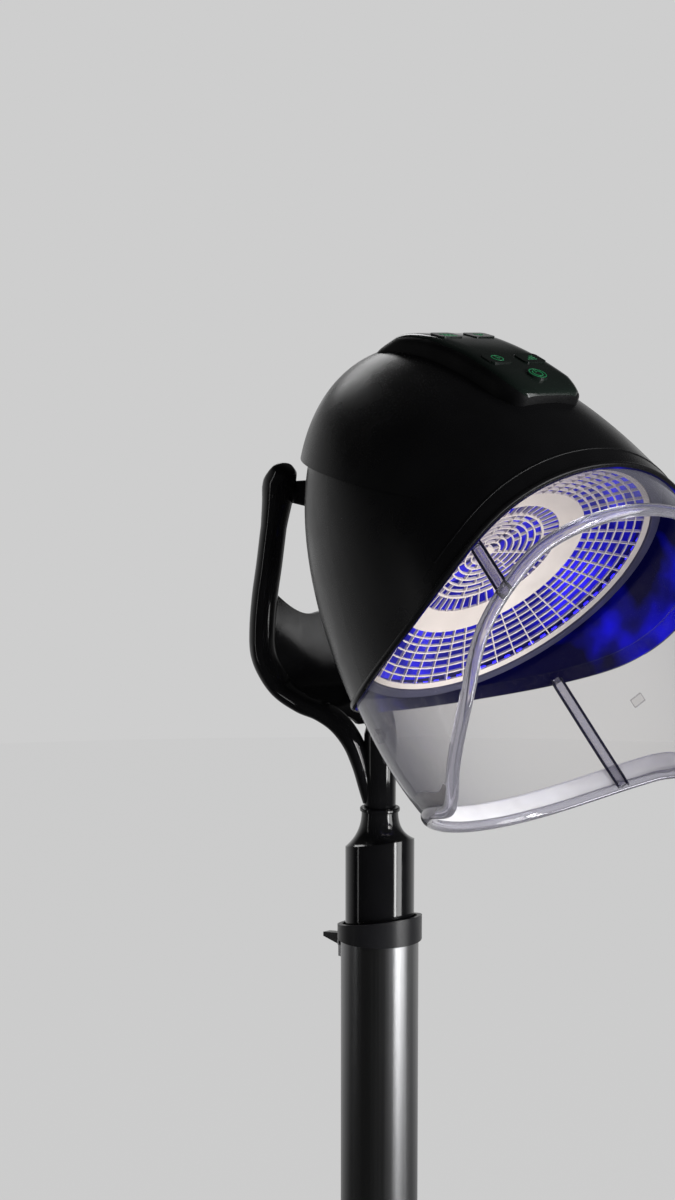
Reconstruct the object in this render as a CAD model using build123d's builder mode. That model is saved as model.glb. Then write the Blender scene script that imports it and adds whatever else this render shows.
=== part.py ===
"""Standing hood hair dryer: a tilting hood on a wishbone arm, a telescopic column and a castor base.

World frame: the column stands on +Z through the origin, the floor is z = 0, and the hood opens
towards -Y.  The hood has a frame of its own: `forward` runs from its axis to the forehead side,
and `height` runs along its axis from the head opening to the crown.
"""
from build123d import *
from math import atan2, cos, degrees, radians, sin, sqrt
import os

os.makedirs("parts", exist_ok=True)

# ---------------------------------------------------------------- driving dimensions, millimetres
HOOD_TILT = 46.0                 # hood axis from vertical, leaning back
HOOD_Y, HOOD_Z = -225.0, 1169.0  # centre of the hood's widest circle
DOME_RADIUS, DOME_HEIGHT = 163.0, 326.0
SKIRT_HEIGHT = 230.0             # semi-height of the ellipse below the widest circle
SHELL_WALL = 3.5
VISOR_WALL = 2.5
RIM_HEIGHT = 7.0
VISOR_LOW, VISOR_HIGH = -115.0, 115.0
GRILLE_HEIGHT = 88.0             # grille flange above the widest circle
GRILLE_RADIUS = 139.0
GRILLE_CROWN = 34.0              # rise of the grille's dome

COLUMN_RADIUS, COLUMN_WALL = 35.0, 2.0
COLUMN_TOP = 900.0
SLEEVE_RADIUS, SLEEVE_WALL = 31.0, 3.0
SLEEVE_BOTTOM = 640.0
SHOULDER_Z, SHOULDER_SLANT = 981.5, 11.0
NECK_RADIUS, NECK_TOP = 16.5, 1010.0
SPIGOT_RADIUS, SPIGOT_TOP = 9.0, 1080.0
ARM_TUBE_RADIUS, ARM_TUBE_TOP = 14.3, 1090.0

PIN_Y, PIN_Z, PIN_RADIUS = 76.0, 1293.0, 4.0
RAIL_SPACING = 110.0             # between the centres of the arm's two rails
RAIL_WIDTH, RAIL_THICKNESS = 17.0, 15.0

CONSOLE_WIDTH, CONSOLE_LIFT = 80.0, 13.0
CONSOLE_REAR_Y, CONSOLE_FRONT_Y = 2.0, -220.0
COVER_THICKNESS = 2.5
KEY_TRAVEL = 0.8

LEG_COUNT = 5
LEG_REACH = 290.0
WHEEL_RADIUS, WHEEL_WIDTH = 25.0, 9.0
CASTER_TRAIL = 18.0
STEM_RADIUS = 5.0
RUNNING_GAP = 0.05

# ---------------------------------------------------------------- planes of the hood
_tilt = radians(HOOD_TILT)
CROWN_DIR = Vector(0, sin(_tilt), cos(_tilt))
FORWARD_DIR = Vector(0, -cos(_tilt), sin(_tilt))
HOOD_CENTRE = Vector(0, HOOD_Y, HOOD_Z)
HOOD = Plane(origin=HOOD_CENTRE, x_dir=(1, 0, 0), z_dir=CROWN_DIR)
MERIDIAN = Plane(origin=HOOD_CENTRE, x_dir=(1, 0, 0), z_dir=FORWARD_DIR)   # (radius, height)
SIDE = Plane(origin=HOOD_CENTRE, x_dir=FORWARD_DIR, z_dir=(-1, 0, 0))      # (forward, height)
HOOD_AXIS = Axis(HOOD_CENTRE, CROWN_DIR)
FAR = 400.0                      # reach of the blocks that only trim other shapes


def finish(part, label):
    """Label a finished piece and write its STEP file."""
    part.label = label
    export_step(part, f"parts/{label}.step")


def egg(inset, floor=-120.0):
    """Solid egg about the hood axis, `inset` inside the dome's outer surface, cut flat at `floor`."""
    radius = DOME_RADIUS - inset
    height = DOME_HEIGHT - inset
    drop = degrees(atan2(-floor / SKIRT_HEIGHT, sqrt(1 - (floor / SKIRT_HEIGHT) ** 2)))
    with BuildPart() as body:
        with BuildSketch(MERIDIAN):
            with BuildLine():
                below = EllipticalCenterArc((0, 0), radius, SKIRT_HEIGHT, -drop, arc_size=drop)
                above = EllipticalCenterArc((0, 0), radius, height, 0, arc_size=90)
                Polyline(above @ 1, (0, (below @ 0).Y), below @ 0)
            make_face()
        revolve(axis=HOOD_AXIS)
    return body.part


def wall_radius(inset, height):
    """Radius of a surface `inset` inside the dome's, at a height."""
    rise = SKIRT_HEIGHT if height < 0 else DOME_HEIGHT - inset
    return (DOME_RADIUS - inset) * sqrt(1 - (height / rise) ** 2)


def visor_wall(outer, inner):
    """Ring of smooth wall between two insets, across the widest circle."""
    heights = [VISOR_LOW + (VISOR_HIGH - VISOR_LOW) * step / 6 for step in range(7)]
    with BuildPart() as body:
        with BuildSketch(MERIDIAN):
            with BuildLine():
                outside = Spline(*[(wall_radius(outer, height), height) for height in heights])
                inside = Spline(*[(wall_radius(inner, height), height) for height in heights])
                Line(outside @ 0, inside @ 0)
                Line(outside @ 1, inside @ 1)
            make_face()
        revolve(axis=HOOD_AXIS)
    return body.part


def turned(points):
    """Solid turned about the hood axis from a closed (radius, height) outline."""
    with BuildPart() as body:
        with BuildSketch(MERIDIAN):
            with BuildLine():
                Polyline(*points, close=True)
            make_face()
        revolve(axis=HOOD_AXIS)
    return body.part


def ring(inner, outer, low, high):
    """Plain ring about the hood axis."""
    return turned([(inner, low), (outer, low), (outer, high), (inner, high)])


# ---------------------------------------------------------------- base
HUB_RADIUS, HUB_LOW, HUB_HIGH = 48.0, 62.0, 112.0
SOCKET_FLOOR = 78.0
LEG_WIDTH = 34.0
BOSS_RADIUS, BOSS_LOW, BOSS_HIGH = 17.0, 60.0, 80.0

with BuildPart() as base_hub:
    with BuildSketch(Plane.XY.offset(HUB_LOW)):
        Circle(HUB_RADIUS)
    extrude(amount=HUB_HIGH - HUB_LOW)
    fillet(base_hub.edges().sort_by(Axis.Z)[-1], 8)
    with BuildSketch(Plane.XY.offset(SOCKET_FLOOR)):
        Circle(COLUMN_RADIUS)
    extrude(amount=HUB_HIGH, mode=Mode.SUBTRACT)
finish(base_hub.part, "base_hub")

leg_angles = [-90 + 360 / LEG_COUNT * index for index in range(LEG_COUNT)]
for index, angle in enumerate(leg_angles):
    with BuildPart() as leg:
        with BuildSketch(Plane.XZ):
            with BuildLine():
                Polyline((30, 68), (30, 104), (LEG_REACH, BOSS_HIGH), (LEG_REACH, BOSS_LOW), close=True)
            make_face()
        extrude(amount=LEG_WIDTH / 2, both=True)
        fillet(leg.edges().filter_by(Axis.Y, reverse=True).group_by(Axis.Z)[-1], 6)
        with BuildSketch(Plane.XY.offset(BOSS_LOW)):
            with Locations((LEG_REACH, 0)):
                Circle(BOSS_RADIUS)
        extrude(amount=BOSS_HIGH - BOSS_LOW)
        with BuildSketch(Plane.XY.offset(BOSS_LOW - 1)):
            with Locations((LEG_REACH, 0)):
                Circle(STEM_RADIUS + RUNNING_GAP)
        extrude(amount=17, mode=Mode.SUBTRACT)
        with BuildSketch(Plane.XY):
            Circle(HUB_RADIUS)
        extrude(amount=FAR, mode=Mode.SUBTRACT)
    finish(leg.part.rotate(Axis.Z, angle), f"base_leg_{index + 1}")

# Each castor trails behind its swivel stem, so its wheels sit nearer the hub or beyond it.
FORK_LOW, FORK_HIGH = 30.0, 59.6
for index, angle in enumerate(leg_angles):
    axle_x = LEG_REACH - CASTER_TRAIL
    with BuildPart() as fork:
        with BuildSketch(Plane.XZ):
            with BuildLine():
                Polyline((axle_x - 8, WHEEL_RADIUS - 7), (axle_x - 12, 40), (axle_x - 6, FORK_HIGH),
                         (LEG_REACH + 12, FORK_HIGH), (LEG_REACH + 12, 50), (axle_x + 8, WHEEL_RADIUS - 7),
                         close=True)
            make_face()
        extrude(amount=6, both=True)
        with BuildSketch(Plane.XY.offset(FORK_HIGH - 3)):
            with Locations((LEG_REACH, 0)):
                Circle(14)
        extrude(amount=3)
        with BuildSketch(Plane.XY.offset(FORK_HIGH - 1)):
            with Locations((LEG_REACH, 0)):
                Circle(STEM_RADIUS)
        extrude(amount=16)
        with BuildSketch(Plane.XZ):
            with Locations((axle_x, WHEEL_RADIUS)):
                Circle(3 + RUNNING_GAP)
        extrude(amount=20, both=True, mode=Mode.SUBTRACT)
    finish(fork.part.rotate(Axis.Z, angle), f"caster_fork_{index + 1}")
    with BuildPart() as wheels:
        for side in (-1, 1):
            with BuildSketch(Plane.XZ.offset(side * (6.5 + WHEEL_WIDTH / 2) - WHEEL_WIDTH / 2)):
                with Locations((axle_x, WHEEL_RADIUS)):
                    Circle(WHEEL_RADIUS)
                    Circle(3, mode=Mode.SUBTRACT)
            extrude(amount=WHEEL_WIDTH)
        fillet(wheels.edges().filter_by(GeomType.CIRCLE).filter_by(lambda e: e.radius > 20), 2)
        with BuildSketch(Plane.XZ.offset(-15)):
            with Locations((axle_x, WHEEL_RADIUS)):
                Circle(3)
        extrude(amount=30)
    finish(wheels.part.rotate(Axis.Z, angle), f"caster_wheels_{index + 1}")

# ---------------------------------------------------------------- column
COLLAR_RADIUS, COLLAR_LIP = 38.0, 911.0
GLAND_Z = 160.0
LEVER_Z, LEVER_Y = 882.0, 43.0
WINDOW_WIDTH, WINDOW_HEIGHT = 10.0, 16.0

with BuildPart() as lower_column:
    with BuildSketch(Plane.XY.offset(SOCKET_FLOOR)):
        Circle(COLUMN_RADIUS)
        Circle(COLUMN_RADIUS - COLUMN_WALL, mode=Mode.SUBTRACT)
    extrude(amount=COLUMN_TOP - SOCKET_FLOOR)
    with BuildSketch(Plane.XZ.offset(-COLUMN_RADIUS - 5)):
        with Locations((0, LEVER_Z)):
            Rectangle(WINDOW_WIDTH, WINDOW_HEIGHT)
        with Locations((0, GLAND_Z)):
            Circle(9)
    extrude(amount=20, mode=Mode.SUBTRACT)
finish(lower_column.part, "lower_column")

slant = Plane(origin=(0, 0, COLLAR_LIP), x_dir=(1, 0, 0),
              z_dir=(0, sin(radians(SHOULDER_SLANT)), cos(radians(SHOULDER_SLANT))))
with BuildPart() as column_collar:
    with BuildSketch(Plane.XY.offset(COLUMN_TOP)):
        Circle(COLLAR_RADIUS)
        Circle(SLEEVE_RADIUS + 2.5, mode=Mode.SUBTRACT)
    extrude(amount=30)
    split(bisect_by=slant, keep=Keep.BOTTOM)
    with BuildSketch(Plane.XY.offset(COLUMN_TOP - 6)):
        Circle(COLLAR_RADIUS)
        Circle(COLUMN_RADIUS, mode=Mode.SUBTRACT)
    extrude(amount=6)
finish(column_collar.part, "column_collar")

BUSH_LOW = 800.0
with BuildPart() as guide_bush:
    with BuildSketch(Plane.XY.offset(BUSH_LOW)):
        Circle(COLUMN_RADIUS - COLUMN_WALL)
        Circle(SLEEVE_RADIUS + RUNNING_GAP, mode=Mode.SUBTRACT)
    extrude(amount=COLUMN_TOP - BUSH_LOW)
    with BuildSketch(Plane.XZ.offset(-COLUMN_RADIUS - 5)):
        with Locations((0, LEVER_Z)):
            Rectangle(WINDOW_WIDTH, WINDOW_HEIGHT)
    extrude(amount=20, mode=Mode.SUBTRACT)
finish(guide_bush.part, "guide_bush")

BLOCK_HALF, BLOCK_REAR = 9.0, 49.0
with BuildPart() as lever_block:
    with BuildSketch(Plane.XY.offset(LEVER_Z - 14)):
        with Locations((0, (BLOCK_REAR + 20) / 2)):
            Rectangle(2 * BLOCK_HALF, BLOCK_REAR - 20)
    extrude(amount=26)
    with BuildSketch(Plane.XY):
        Circle(COLUMN_RADIUS)
    extrude(amount=1000, mode=Mode.SUBTRACT)
    with BuildSketch(Plane.YZ):
        with Locations((LEVER_Y, LEVER_Z)):
            Rectangle(60, 60)
    extrude(amount=4.3, both=True, mode=Mode.SUBTRACT)
    with BuildSketch(Plane.YZ):
        with Locations((LEVER_Y, LEVER_Z)):
            Circle(2.5)
    extrude(amount=20, both=True, mode=Mode.SUBTRACT)
finish(lever_block.part, "lever_block")

with BuildPart() as lever_pin:
    with BuildSketch(Plane.YZ.offset(-BLOCK_HALF - 1)):
        with Locations((LEVER_Y, LEVER_Z)):
            Circle(2.5)
    extrude(amount=2 * BLOCK_HALF + 2)
finish(lever_pin.part, "lever_pin")

LEVER_TIP = 78.0
with BuildPart() as height_lever:
    with BuildSketch(Plane.YZ):
        with BuildLine():
            Polyline((36, LEVER_Z - 4), (36, LEVER_Z + 4), (50, LEVER_Z + 6), (LEVER_TIP, LEVER_Z + 1.5),
                     (LEVER_TIP, LEVER_Z - 2.5), (50, LEVER_Z - 6), close=True)
        make_face()
        with Locations((LEVER_Y, LEVER_Z)):
            Circle(2.5 + RUNNING_GAP, mode=Mode.SUBTRACT)
    extrude(amount=4, both=True)
finish(height_lever.part, "height_lever")

with BuildPart() as lever_springs:
    for side in (-1, 1):
        with BuildSketch(Plane.YZ.offset(side * (BLOCK_HALF + 1.5) - 1)):
            with Locations((LEVER_Y, LEVER_Z)):
                Circle(4.5)
                Circle(2.5, mode=Mode.SUBTRACT)
        extrude(amount=2)
finish(lever_springs.part, "lever_springs")

with BuildPart() as cable_gland:
    with BuildSketch(Plane.XZ.offset(-COLUMN_RADIUS - 20)):
        with Locations((0, GLAND_Z)):
            Circle(9)
    extrude(amount=22)
    with BuildSketch(Plane.XZ.offset(-COLUMN_RADIUS - 6)):
        with Locations((0, GLAND_Z)):
            RegularPolygon(13, 6)
    extrude(amount=6)
    with BuildSketch(Plane.XY):
        Circle(COLUMN_RADIUS)
    extrude(amount=1000, mode=Mode.SUBTRACT)
    with BuildSketch(Plane.XZ.offset(-COLUMN_RADIUS - 21)):
        with Locations((0, GLAND_Z)):
            Circle(4)
    extrude(amount=40, mode=Mode.SUBTRACT)
finish(cable_gland.part, "cable_gland")

GAS_RADIUS, GAS_TOP = 14.0, 580.0
ROD_RADIUS, ROD_BOTTOM = 5.0, 300.0
with BuildPart() as gas_cylinder:
    with BuildSketch(Plane.XY.offset(SOCKET_FLOOR)):
        Circle(GAS_RADIUS)
    extrude(amount=GAS_TOP - SOCKET_FLOOR)
    with BuildSketch(Plane.XY.offset(SOCKET_FLOOR + 15)):
        Circle(GAS_RADIUS - 2)
    extrude(amount=GAS_TOP - SOCKET_FLOOR - 25, mode=Mode.SUBTRACT)
    with BuildSketch(Plane.XY.offset(GAS_TOP - 12)):
        Circle(ROD_RADIUS + RUNNING_GAP)
    extrude(amount=20, mode=Mode.SUBTRACT)
finish(gas_cylinder.part, "gas_cylinder")

PLUG_HEIGHT = 15.0
with BuildPart() as gas_rod:
    with BuildSketch(Plane.XY.offset(ROD_BOTTOM)):
        Circle(ROD_RADIUS)
    extrude(amount=SLEEVE_BOTTOM - ROD_BOTTOM)
    with BuildSketch(Plane.XY.offset(ROD_BOTTOM)):
        Circle(GAS_RADIUS - 2 - RUNNING_GAP)
    extrude(amount=12)
finish(gas_rod.part, "gas_rod")

shoulder = Plane(origin=(0, 0, SHOULDER_Z), x_dir=(1, 0, 0),
                 z_dir=(0, sin(radians(SHOULDER_SLANT)), cos(radians(SHOULDER_SLANT))))
flare = Plane(origin=(0, 0, SHOULDER_Z + 10.5), x_dir=(1, 0, 0),
              z_dir=(0, sin(radians(SHOULDER_SLANT / 2)), cos(radians(SHOULDER_SLANT / 2))))
CAVITY_TOP = 965.0
with BuildPart() as upper_sleeve:
    with BuildSketch(Plane.XY.offset(SLEEVE_BOTTOM)):
        Circle(SLEEVE_RADIUS)
    extrude(amount=SHOULDER_Z + 20 - SLEEVE_BOTTOM)
    split(bisect_by=shoulder, keep=Keep.BOTTOM)
    with BuildSketch(shoulder):
        Ellipse(SLEEVE_RADIUS, SLEEVE_RADIUS / cos(radians(SHOULDER_SLANT)))
    with BuildSketch(flare):
        Ellipse(SLEEVE_RADIUS * 0.66, SLEEVE_RADIUS * 0.67)
    with BuildSketch(Plane.XY.offset(NECK_TOP)):
        Circle(NECK_RADIUS)
    loft()
    with BuildSketch(Plane.XY.offset(SLEEVE_BOTTOM + PLUG_HEIGHT)):
        Circle(SLEEVE_RADIUS - SLEEVE_WALL)
    extrude(amount=CAVITY_TOP - SLEEVE_BOTTOM - PLUG_HEIGHT, mode=Mode.SUBTRACT)
    with BuildSketch(Plane.XY.offset(CAVITY_TOP - 1)):
        Circle(SPIGOT_RADIUS)
    extrude(amount=60, mode=Mode.SUBTRACT)
finish(upper_sleeve.part, "upper_sleeve")

NECK_RING_HEIGHT = 4.0
with BuildPart() as neck_ring:
    with BuildSketch(Plane.XY.offset(NECK_TOP)):
        Circle(NECK_RADIUS + 1.5)
        Circle(SPIGOT_RADIUS, mode=Mode.SUBTRACT)
    extrude(amount=NECK_RING_HEIGHT)
    fillet(neck_ring.edges().filter_by(GeomType.CIRCLE).filter_by(lambda e: e.radius > NECK_RADIUS), 1.4)
finish(neck_ring.part, "neck_ring")

with BuildPart() as swivel_spigot:
    with BuildSketch(Plane.XY.offset(CAVITY_TOP)):
        Circle(SPIGOT_RADIUS)
    extrude(amount=SPIGOT_TOP - CAVITY_TOP)
    with BuildSketch(Plane.XY.offset(CAVITY_TOP - 6)):
        Circle(SPIGOT_RADIUS + 6)
    extrude(amount=6)
finish(swivel_spigot.part, "swivel_spigot")

# ---------------------------------------------------------------- arm
ARM_LOW = NECK_TOP + NECK_RING_HEIGHT + 0.2
RAIL_X = RAIL_SPACING / 2
WEB_THICKNESS = 4.0


def arm_band(thickness):
    """The arm's side profile, thickened and run across its whole width."""
    with BuildPart() as band:
        with BuildLine() as path:
            Spline((0, 9, ARM_LOW + 2), (0, 12, 1062), (0, 40, 1098), (0, 82, 1111), (0, 102, 1155),
                   (0, 94, 1220), (0, 78, 1282), (0, 66, 1308))
        with BuildSketch(Plane(origin=path.line @ 0, x_dir=(1, 0, 0), z_dir=path.line % 0)):
            Rectangle(2 * RAIL_X + 60, thickness)
        sweep()
    return band.part


def arm_outline(points, top):
    """Block over the arm's front view: a curved side that runs straight up to `top`, mirrored."""
    with BuildPart() as block:
        with BuildSketch(Plane.XZ.offset(-FAR / 2)):
            with BuildLine():
                side = Spline(*points, tangents=[(1, 2), (0, 1)])
                Polyline(side @ 1, ((side @ 1).X, top), (0, top), (0, (side @ 0).Y), side @ 0)
            make_face()
            mirror(about=Plane.YZ)
        extrude(amount=FAR)
    return block.part


rail_outside = [(18, ARM_LOW + 2), (22, 1055), (28, 1082), (40, 1102), (54, 1124),
                (RAIL_X + RAIL_WIDTH / 2, 1168)]
rail_inside = [(6, 1086), (18, 1096), (32, 1114), (43, 1138), (RAIL_X - RAIL_WIDTH / 2, 1174)]
slot = arm_outline(rail_inside, 1340)

with BuildPart() as bow_arm:
    add(arm_band(RAIL_THICKNESS))
    add(arm_outline(rail_outside, 1330), mode=Mode.INTERSECT)
    add(slot, mode=Mode.SUBTRACT)
    with BuildSketch(Plane.XY.offset(ARM_LOW)):
        Circle(ARM_TUBE_RADIUS)
    extrude(amount=ARM_TUBE_TOP - ARM_LOW)
    for side in (-1, 1):
        with BuildSketch(Plane.YZ.offset(side * RAIL_X - RAIL_WIDTH / 2)):
            with Locations((PIN_Y, PIN_Z)):
                Circle(10)
        extrude(amount=RAIL_WIDTH)
    with BuildSketch(Plane.YZ):
        with Locations((PIN_Y, PIN_Z)):
            Circle(PIN_RADIUS)
    extrude(amount=FAR, both=True, mode=Mode.SUBTRACT)
    with BuildSketch(Plane.XY.offset(ARM_LOW - 1)):
        Circle(SPIGOT_RADIUS + RUNNING_GAP)
    extrude(amount=SPIGOT_TOP + 1 - ARM_LOW + 1, mode=Mode.SUBTRACT)
finish(bow_arm.part, "bow_arm")

with BuildPart() as bow_web:
    add(arm_band(WEB_THICKNESS))
    add(slot, mode=Mode.INTERSECT)
    with BuildSketch(Plane.XZ.offset(-FAR / 2)):
        with BuildLine():
            lip = Spline((-60, 1214), (-30, 1190), (0, 1178), (30, 1190), (60, 1214))
            Polyline(lip @ 0, (-60, 1000), (60, 1000), lip @ 1)
        make_face()
    extrude(amount=FAR, mode=Mode.INTERSECT)
    add(bow_arm.part, mode=Mode.SUBTRACT)
finish(bow_web.part, "bow_web")

PIN_HALF = RAIL_X + RAIL_WIDTH / 2 + 0.5
with BuildPart() as hinge_pin:
    with BuildSketch(Plane.YZ.offset(-PIN_HALF)):
        with Locations((PIN_Y, PIN_Z)):
            Circle(PIN_RADIUS)
    extrude(amount=2 * PIN_HALF)
    for side in (-1, 1):
        with BuildSketch(Plane.YZ.offset(side * (PIN_HALF + 1.5) - 1.5)):
            with Locations((PIN_Y, PIN_Z)):
                Circle(8)
        extrude(amount=3)
    fillet(hinge_pin.edges().group_by(Axis.X)[0] + hinge_pin.edges().group_by(Axis.X)[-1], 1.5)
finish(hinge_pin.part, "hinge_pin")

BRACKET_HALF = 40.0
with BuildPart() as hinge_spacers:
    for side in (-1, 1):
        low = BRACKET_HALF + 0.3
        high = RAIL_X - RAIL_WIDTH / 2
        with BuildSketch(Plane.YZ.offset(side * (low + high) / 2 - (high - low) / 2)):
            with Locations((PIN_Y, PIN_Z)):
                Circle(9)
                Circle(PIN_RADIUS, mode=Mode.SUBTRACT)
        extrude(amount=high - low)
finish(hinge_spacers.part, "hinge_spacers")

# ---------------------------------------------------------------- hood shells
dome = egg(0.0, floor=-1.0)
dome_inside = egg(SHELL_WALL)

shell_edge = [(-175, 90), (-158, 80), (-110, 54), (-60, 33), (0, 24), (50, 28), (90, 41), (130, 60),
              (155, 69), (175, 73)]
neck_edge = [(-175, -46), (-120, -60), (-82, -74), (-48, -92)]
arch_edge = [(-48, -92), (-10, -79), (38, -53), (77, -21), (109, 0), (134, 14), (175, 22)]
BROW_SHIFT, BROW_PROUD = 7.0, 2.0
REAR_STEP = 1.2


def raised(points, lift):
    """The same (forward, height) points, `lift` higher."""
    return [(forward, height + lift) for forward, height in points]


def band_block(lower, upper):
    """Block across the whole hood between two runs of (forward, height) curves."""
    with BuildPart() as block:
        with BuildSketch(SIDE):
            with BuildLine():
                for points in lower + upper:
                    Spline(*points)
                Line(lower[0][0], upper[0][0])
                Line(lower[-1][-1], upper[-1][-1])
            make_face()
        extrude(amount=FAR / 2, both=True)
    return block.part


with BuildPart() as above_edge:
    with BuildSketch(SIDE):
        with BuildLine():
            edge = Spline(*shell_edge)
            Polyline(edge @ 1, ((edge @ 1).X, FAR), ((edge @ 0).X, FAR), edge @ 0)
        make_face()
    extrude(amount=FAR / 2, both=True)

with BuildPart() as brow:
    add(egg(-BROW_PROUD, floor=-1.0).translate((0, BROW_SHIFT, 0)))
    with BuildSketch(Plane.YZ):
        with BuildLine():
            Polyline((130, 1344), (130, 1500), (-240, 1500), (-240, 1303), close=True)
        make_face()
    extrude(amount=FAR, both=True, mode=Mode.INTERSECT)

with BuildPart() as rear_step:
    add(dome)
    add(egg(REAR_STEP), mode=Mode.SUBTRACT)
    with BuildSketch(Plane.YZ):
        with BuildLine():
            Polyline((-86, 1321), (-190, 1124), (-60, 1000), (150, 1000), (150, 1340), close=True)
        make_face()
    extrude(amount=FAR, both=True, mode=Mode.INTERSECT)

with BuildPart() as outer_form:
    add(dome)
    add(rear_step.part, mode=Mode.SUBTRACT)
    add(brow.part)

INTAKE_LOW, INTAKE_HIGH, INTAKE_HALF = 1212.0, 1252.0, 30.0
with BuildPart() as intake_block:
    with BuildSketch(Plane.XZ):
        with Locations((0, (INTAKE_LOW + INTAKE_HIGH) / 2)):
            RectangleRounded(2 * INTAKE_HALF, INTAKE_HIGH - INTAKE_LOW, 8)
    extrude(amount=-FAR)

with BuildPart() as top_shell:
    add(outer_form.part)
    add(dome_inside, mode=Mode.SUBTRACT)
    add(above_edge.part, mode=Mode.INTERSECT)
    add(intake_block.part, mode=Mode.SUBTRACT)
finish(top_shell.part, "top_shell")

with BuildPart() as intake_grille:
    add(outer_form.part)
    add(dome_inside, mode=Mode.SUBTRACT)
    add(intake_block.part, mode=Mode.INTERSECT)
    with BuildSketch(Plane.XZ):
        for row in range(6):
            with Locations((0, INTAKE_LOW + 7.5 + 5 * row)):
                SlotOverall(48, 2.4)
    extrude(amount=-FAR, mode=Mode.SUBTRACT)
finish(intake_grille.part, "intake_grille")

VISOR_OVERLAP = 13.0
with BuildPart() as visor:
    add(visor_wall(SHELL_WALL, SHELL_WALL + VISOR_WALL))
    add(band_block([raised(neck_edge, RIM_HEIGHT), raised(arch_edge, RIM_HEIGHT)],
                   [raised(shell_edge, VISOR_OVERLAP)]), mode=Mode.INTERSECT)
finish(visor.part, "visor")

with BuildPart() as visor_rim:
    add(visor_wall(SHELL_WALL - 1, SHELL_WALL + VISOR_WALL + 3))
    add(band_block([neck_edge, arch_edge],
                   [raised(neck_edge, RIM_HEIGHT), raised(arch_edge, RIM_HEIGHT)]), mode=Mode.INTERSECT)
finish(visor_rim.part, "visor_rim")

CLIP_TURN, CLIP_HEIGHT = 26.0, -4.0
with BuildPart() as clip_block:
    for turn in (CLIP_TURN, 180 - CLIP_TURN):
        with BuildSketch(HOOD.offset(CLIP_HEIGHT)):
            with Locations(Rotation(0, 0, turn) * Pos(DOME_RADIUS, 0, 0)):
                Rectangle(20, 11)
        extrude(amount=8)

with BuildPart() as visor_clips:
    add(visor_wall(0.3, SHELL_WALL))
    add(clip_block.part, mode=Mode.INTERSECT)
finish(visor_clips.part, "visor_clips")

# ---------------------------------------------------------------- hinge bracket
with BuildPart() as hinge_bracket:
    with BuildSketch(Plane.YZ):
        with BuildLine():
            Polyline((-30, 1274), (PIN_Y - 2, PIN_Z - 10), (PIN_Y, PIN_Z), (PIN_Y - 2, PIN_Z + 10),
                     (-30, 1312), close=True)
        make_face()
        with Locations((PIN_Y, PIN_Z)):
            Circle(10)
    extrude(amount=BRACKET_HALF, both=True)
    add(outer_form.part, mode=Mode.SUBTRACT)
    add(dome_inside, mode=Mode.SUBTRACT)
    with BuildSketch(Plane.YZ):
        with Locations((PIN_Y, PIN_Z)):
            Circle(6)
    extrude(amount=FAR, both=True, mode=Mode.SUBTRACT)
finish(hinge_bracket.part, "hinge_bracket")

with BuildPart() as hinge_bushes:
    for side in (-1, 1):
        with BuildSketch(Plane.YZ.offset(side * (BRACKET_HALF - 10) - 10)):
            with Locations((PIN_Y, PIN_Z)):
                Circle(6)
                Circle(PIN_RADIUS + RUNNING_GAP, mode=Mode.SUBTRACT)
        extrude(amount=20)
finish(hinge_bushes.part, "hinge_bushes")

# ---------------------------------------------------------------- air path inside the hood
LINER_TOP = 205.0
LINER_WALL = 2.0
LINER_INSET = 8.0


def egg_radius(inset, height):
    """Radius of an egg at a height above the widest circle."""
    return (DOME_RADIUS - inset) * sqrt(1 - (height / (DOME_HEIGHT - inset)) ** 2)


with BuildPart() as air_liner:
    add(egg(LINER_INSET))
    add(egg(LINER_INSET + LINER_WALL), mode=Mode.SUBTRACT)
    add(ring(0, 200, GRILLE_HEIGHT + 10, LINER_TOP), mode=Mode.INTERSECT)
    add(ring(54, egg_radius(LINER_INSET, LINER_TOP) - 1, LINER_TOP - LINER_WALL, LINER_TOP))
finish(air_liner.part, "air_liner")

with BuildPart() as liner_flange:
    add(egg(SHELL_WALL))
    add(ring(GRILLE_RADIUS + 1, 200, GRILLE_HEIGHT + 4, GRILLE_HEIGHT + 10), mode=Mode.INTERSECT)
finish(liner_flange.part, "liner_flange")

with BuildPart() as grille_ring:
    add(ring(GRILLE_RADIUS, GRILLE_RADIUS + 8, GRILLE_HEIGHT - 4, GRILLE_HEIGHT + 4))
finish(grille_ring.part, "grille_ring")

GRILLE_WALL = 2.5
crown_radius = (GRILLE_RADIUS ** 2 + GRILLE_CROWN ** 2) / (2 * GRILLE_CROWN)
with BuildPart() as diffuser_grille:
    with BuildSketch(MERIDIAN):
        with BuildLine():
            flange = Line((GRILLE_RADIUS, GRILLE_HEIGHT), (GRILLE_RADIUS, GRILLE_HEIGHT + GRILLE_WALL))
            upper = RadiusArc(flange @ 1, (0, GRILLE_HEIGHT + GRILLE_CROWN + GRILLE_WALL), -crown_radius)
            crown = Line(upper @ 1, (0, GRILLE_HEIGHT + GRILLE_CROWN))
            RadiusArc(crown @ 1, flange @ 0, crown_radius)
        make_face()
    revolve(axis=HOOD_AXIS)
    with BuildSketch(HOOD.offset(GRILLE_HEIGHT - 5)):
        for radius, count in ((128, 48), (115, 44), (102, 40)):
            with PolarLocations(radius, count):
                Rectangle(8.5, 9.5)
        for radius, count in ((72, 18), (56, 14), (40, 10), (24, 6)):
            with PolarLocations(radius, count):
                Rectangle(7, 17)
    extrude(amount=60, mode=Mode.SUBTRACT)
finish(diffuser_grille.part, "diffuser_grille")

with BuildPart() as led_ring:
    add(ring(GRILLE_RADIUS + 1, GRILLE_RADIUS + 5.5, GRILLE_HEIGHT + 10, GRILLE_HEIGHT + 13))
finish(led_ring.part, "led_ring")

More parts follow.
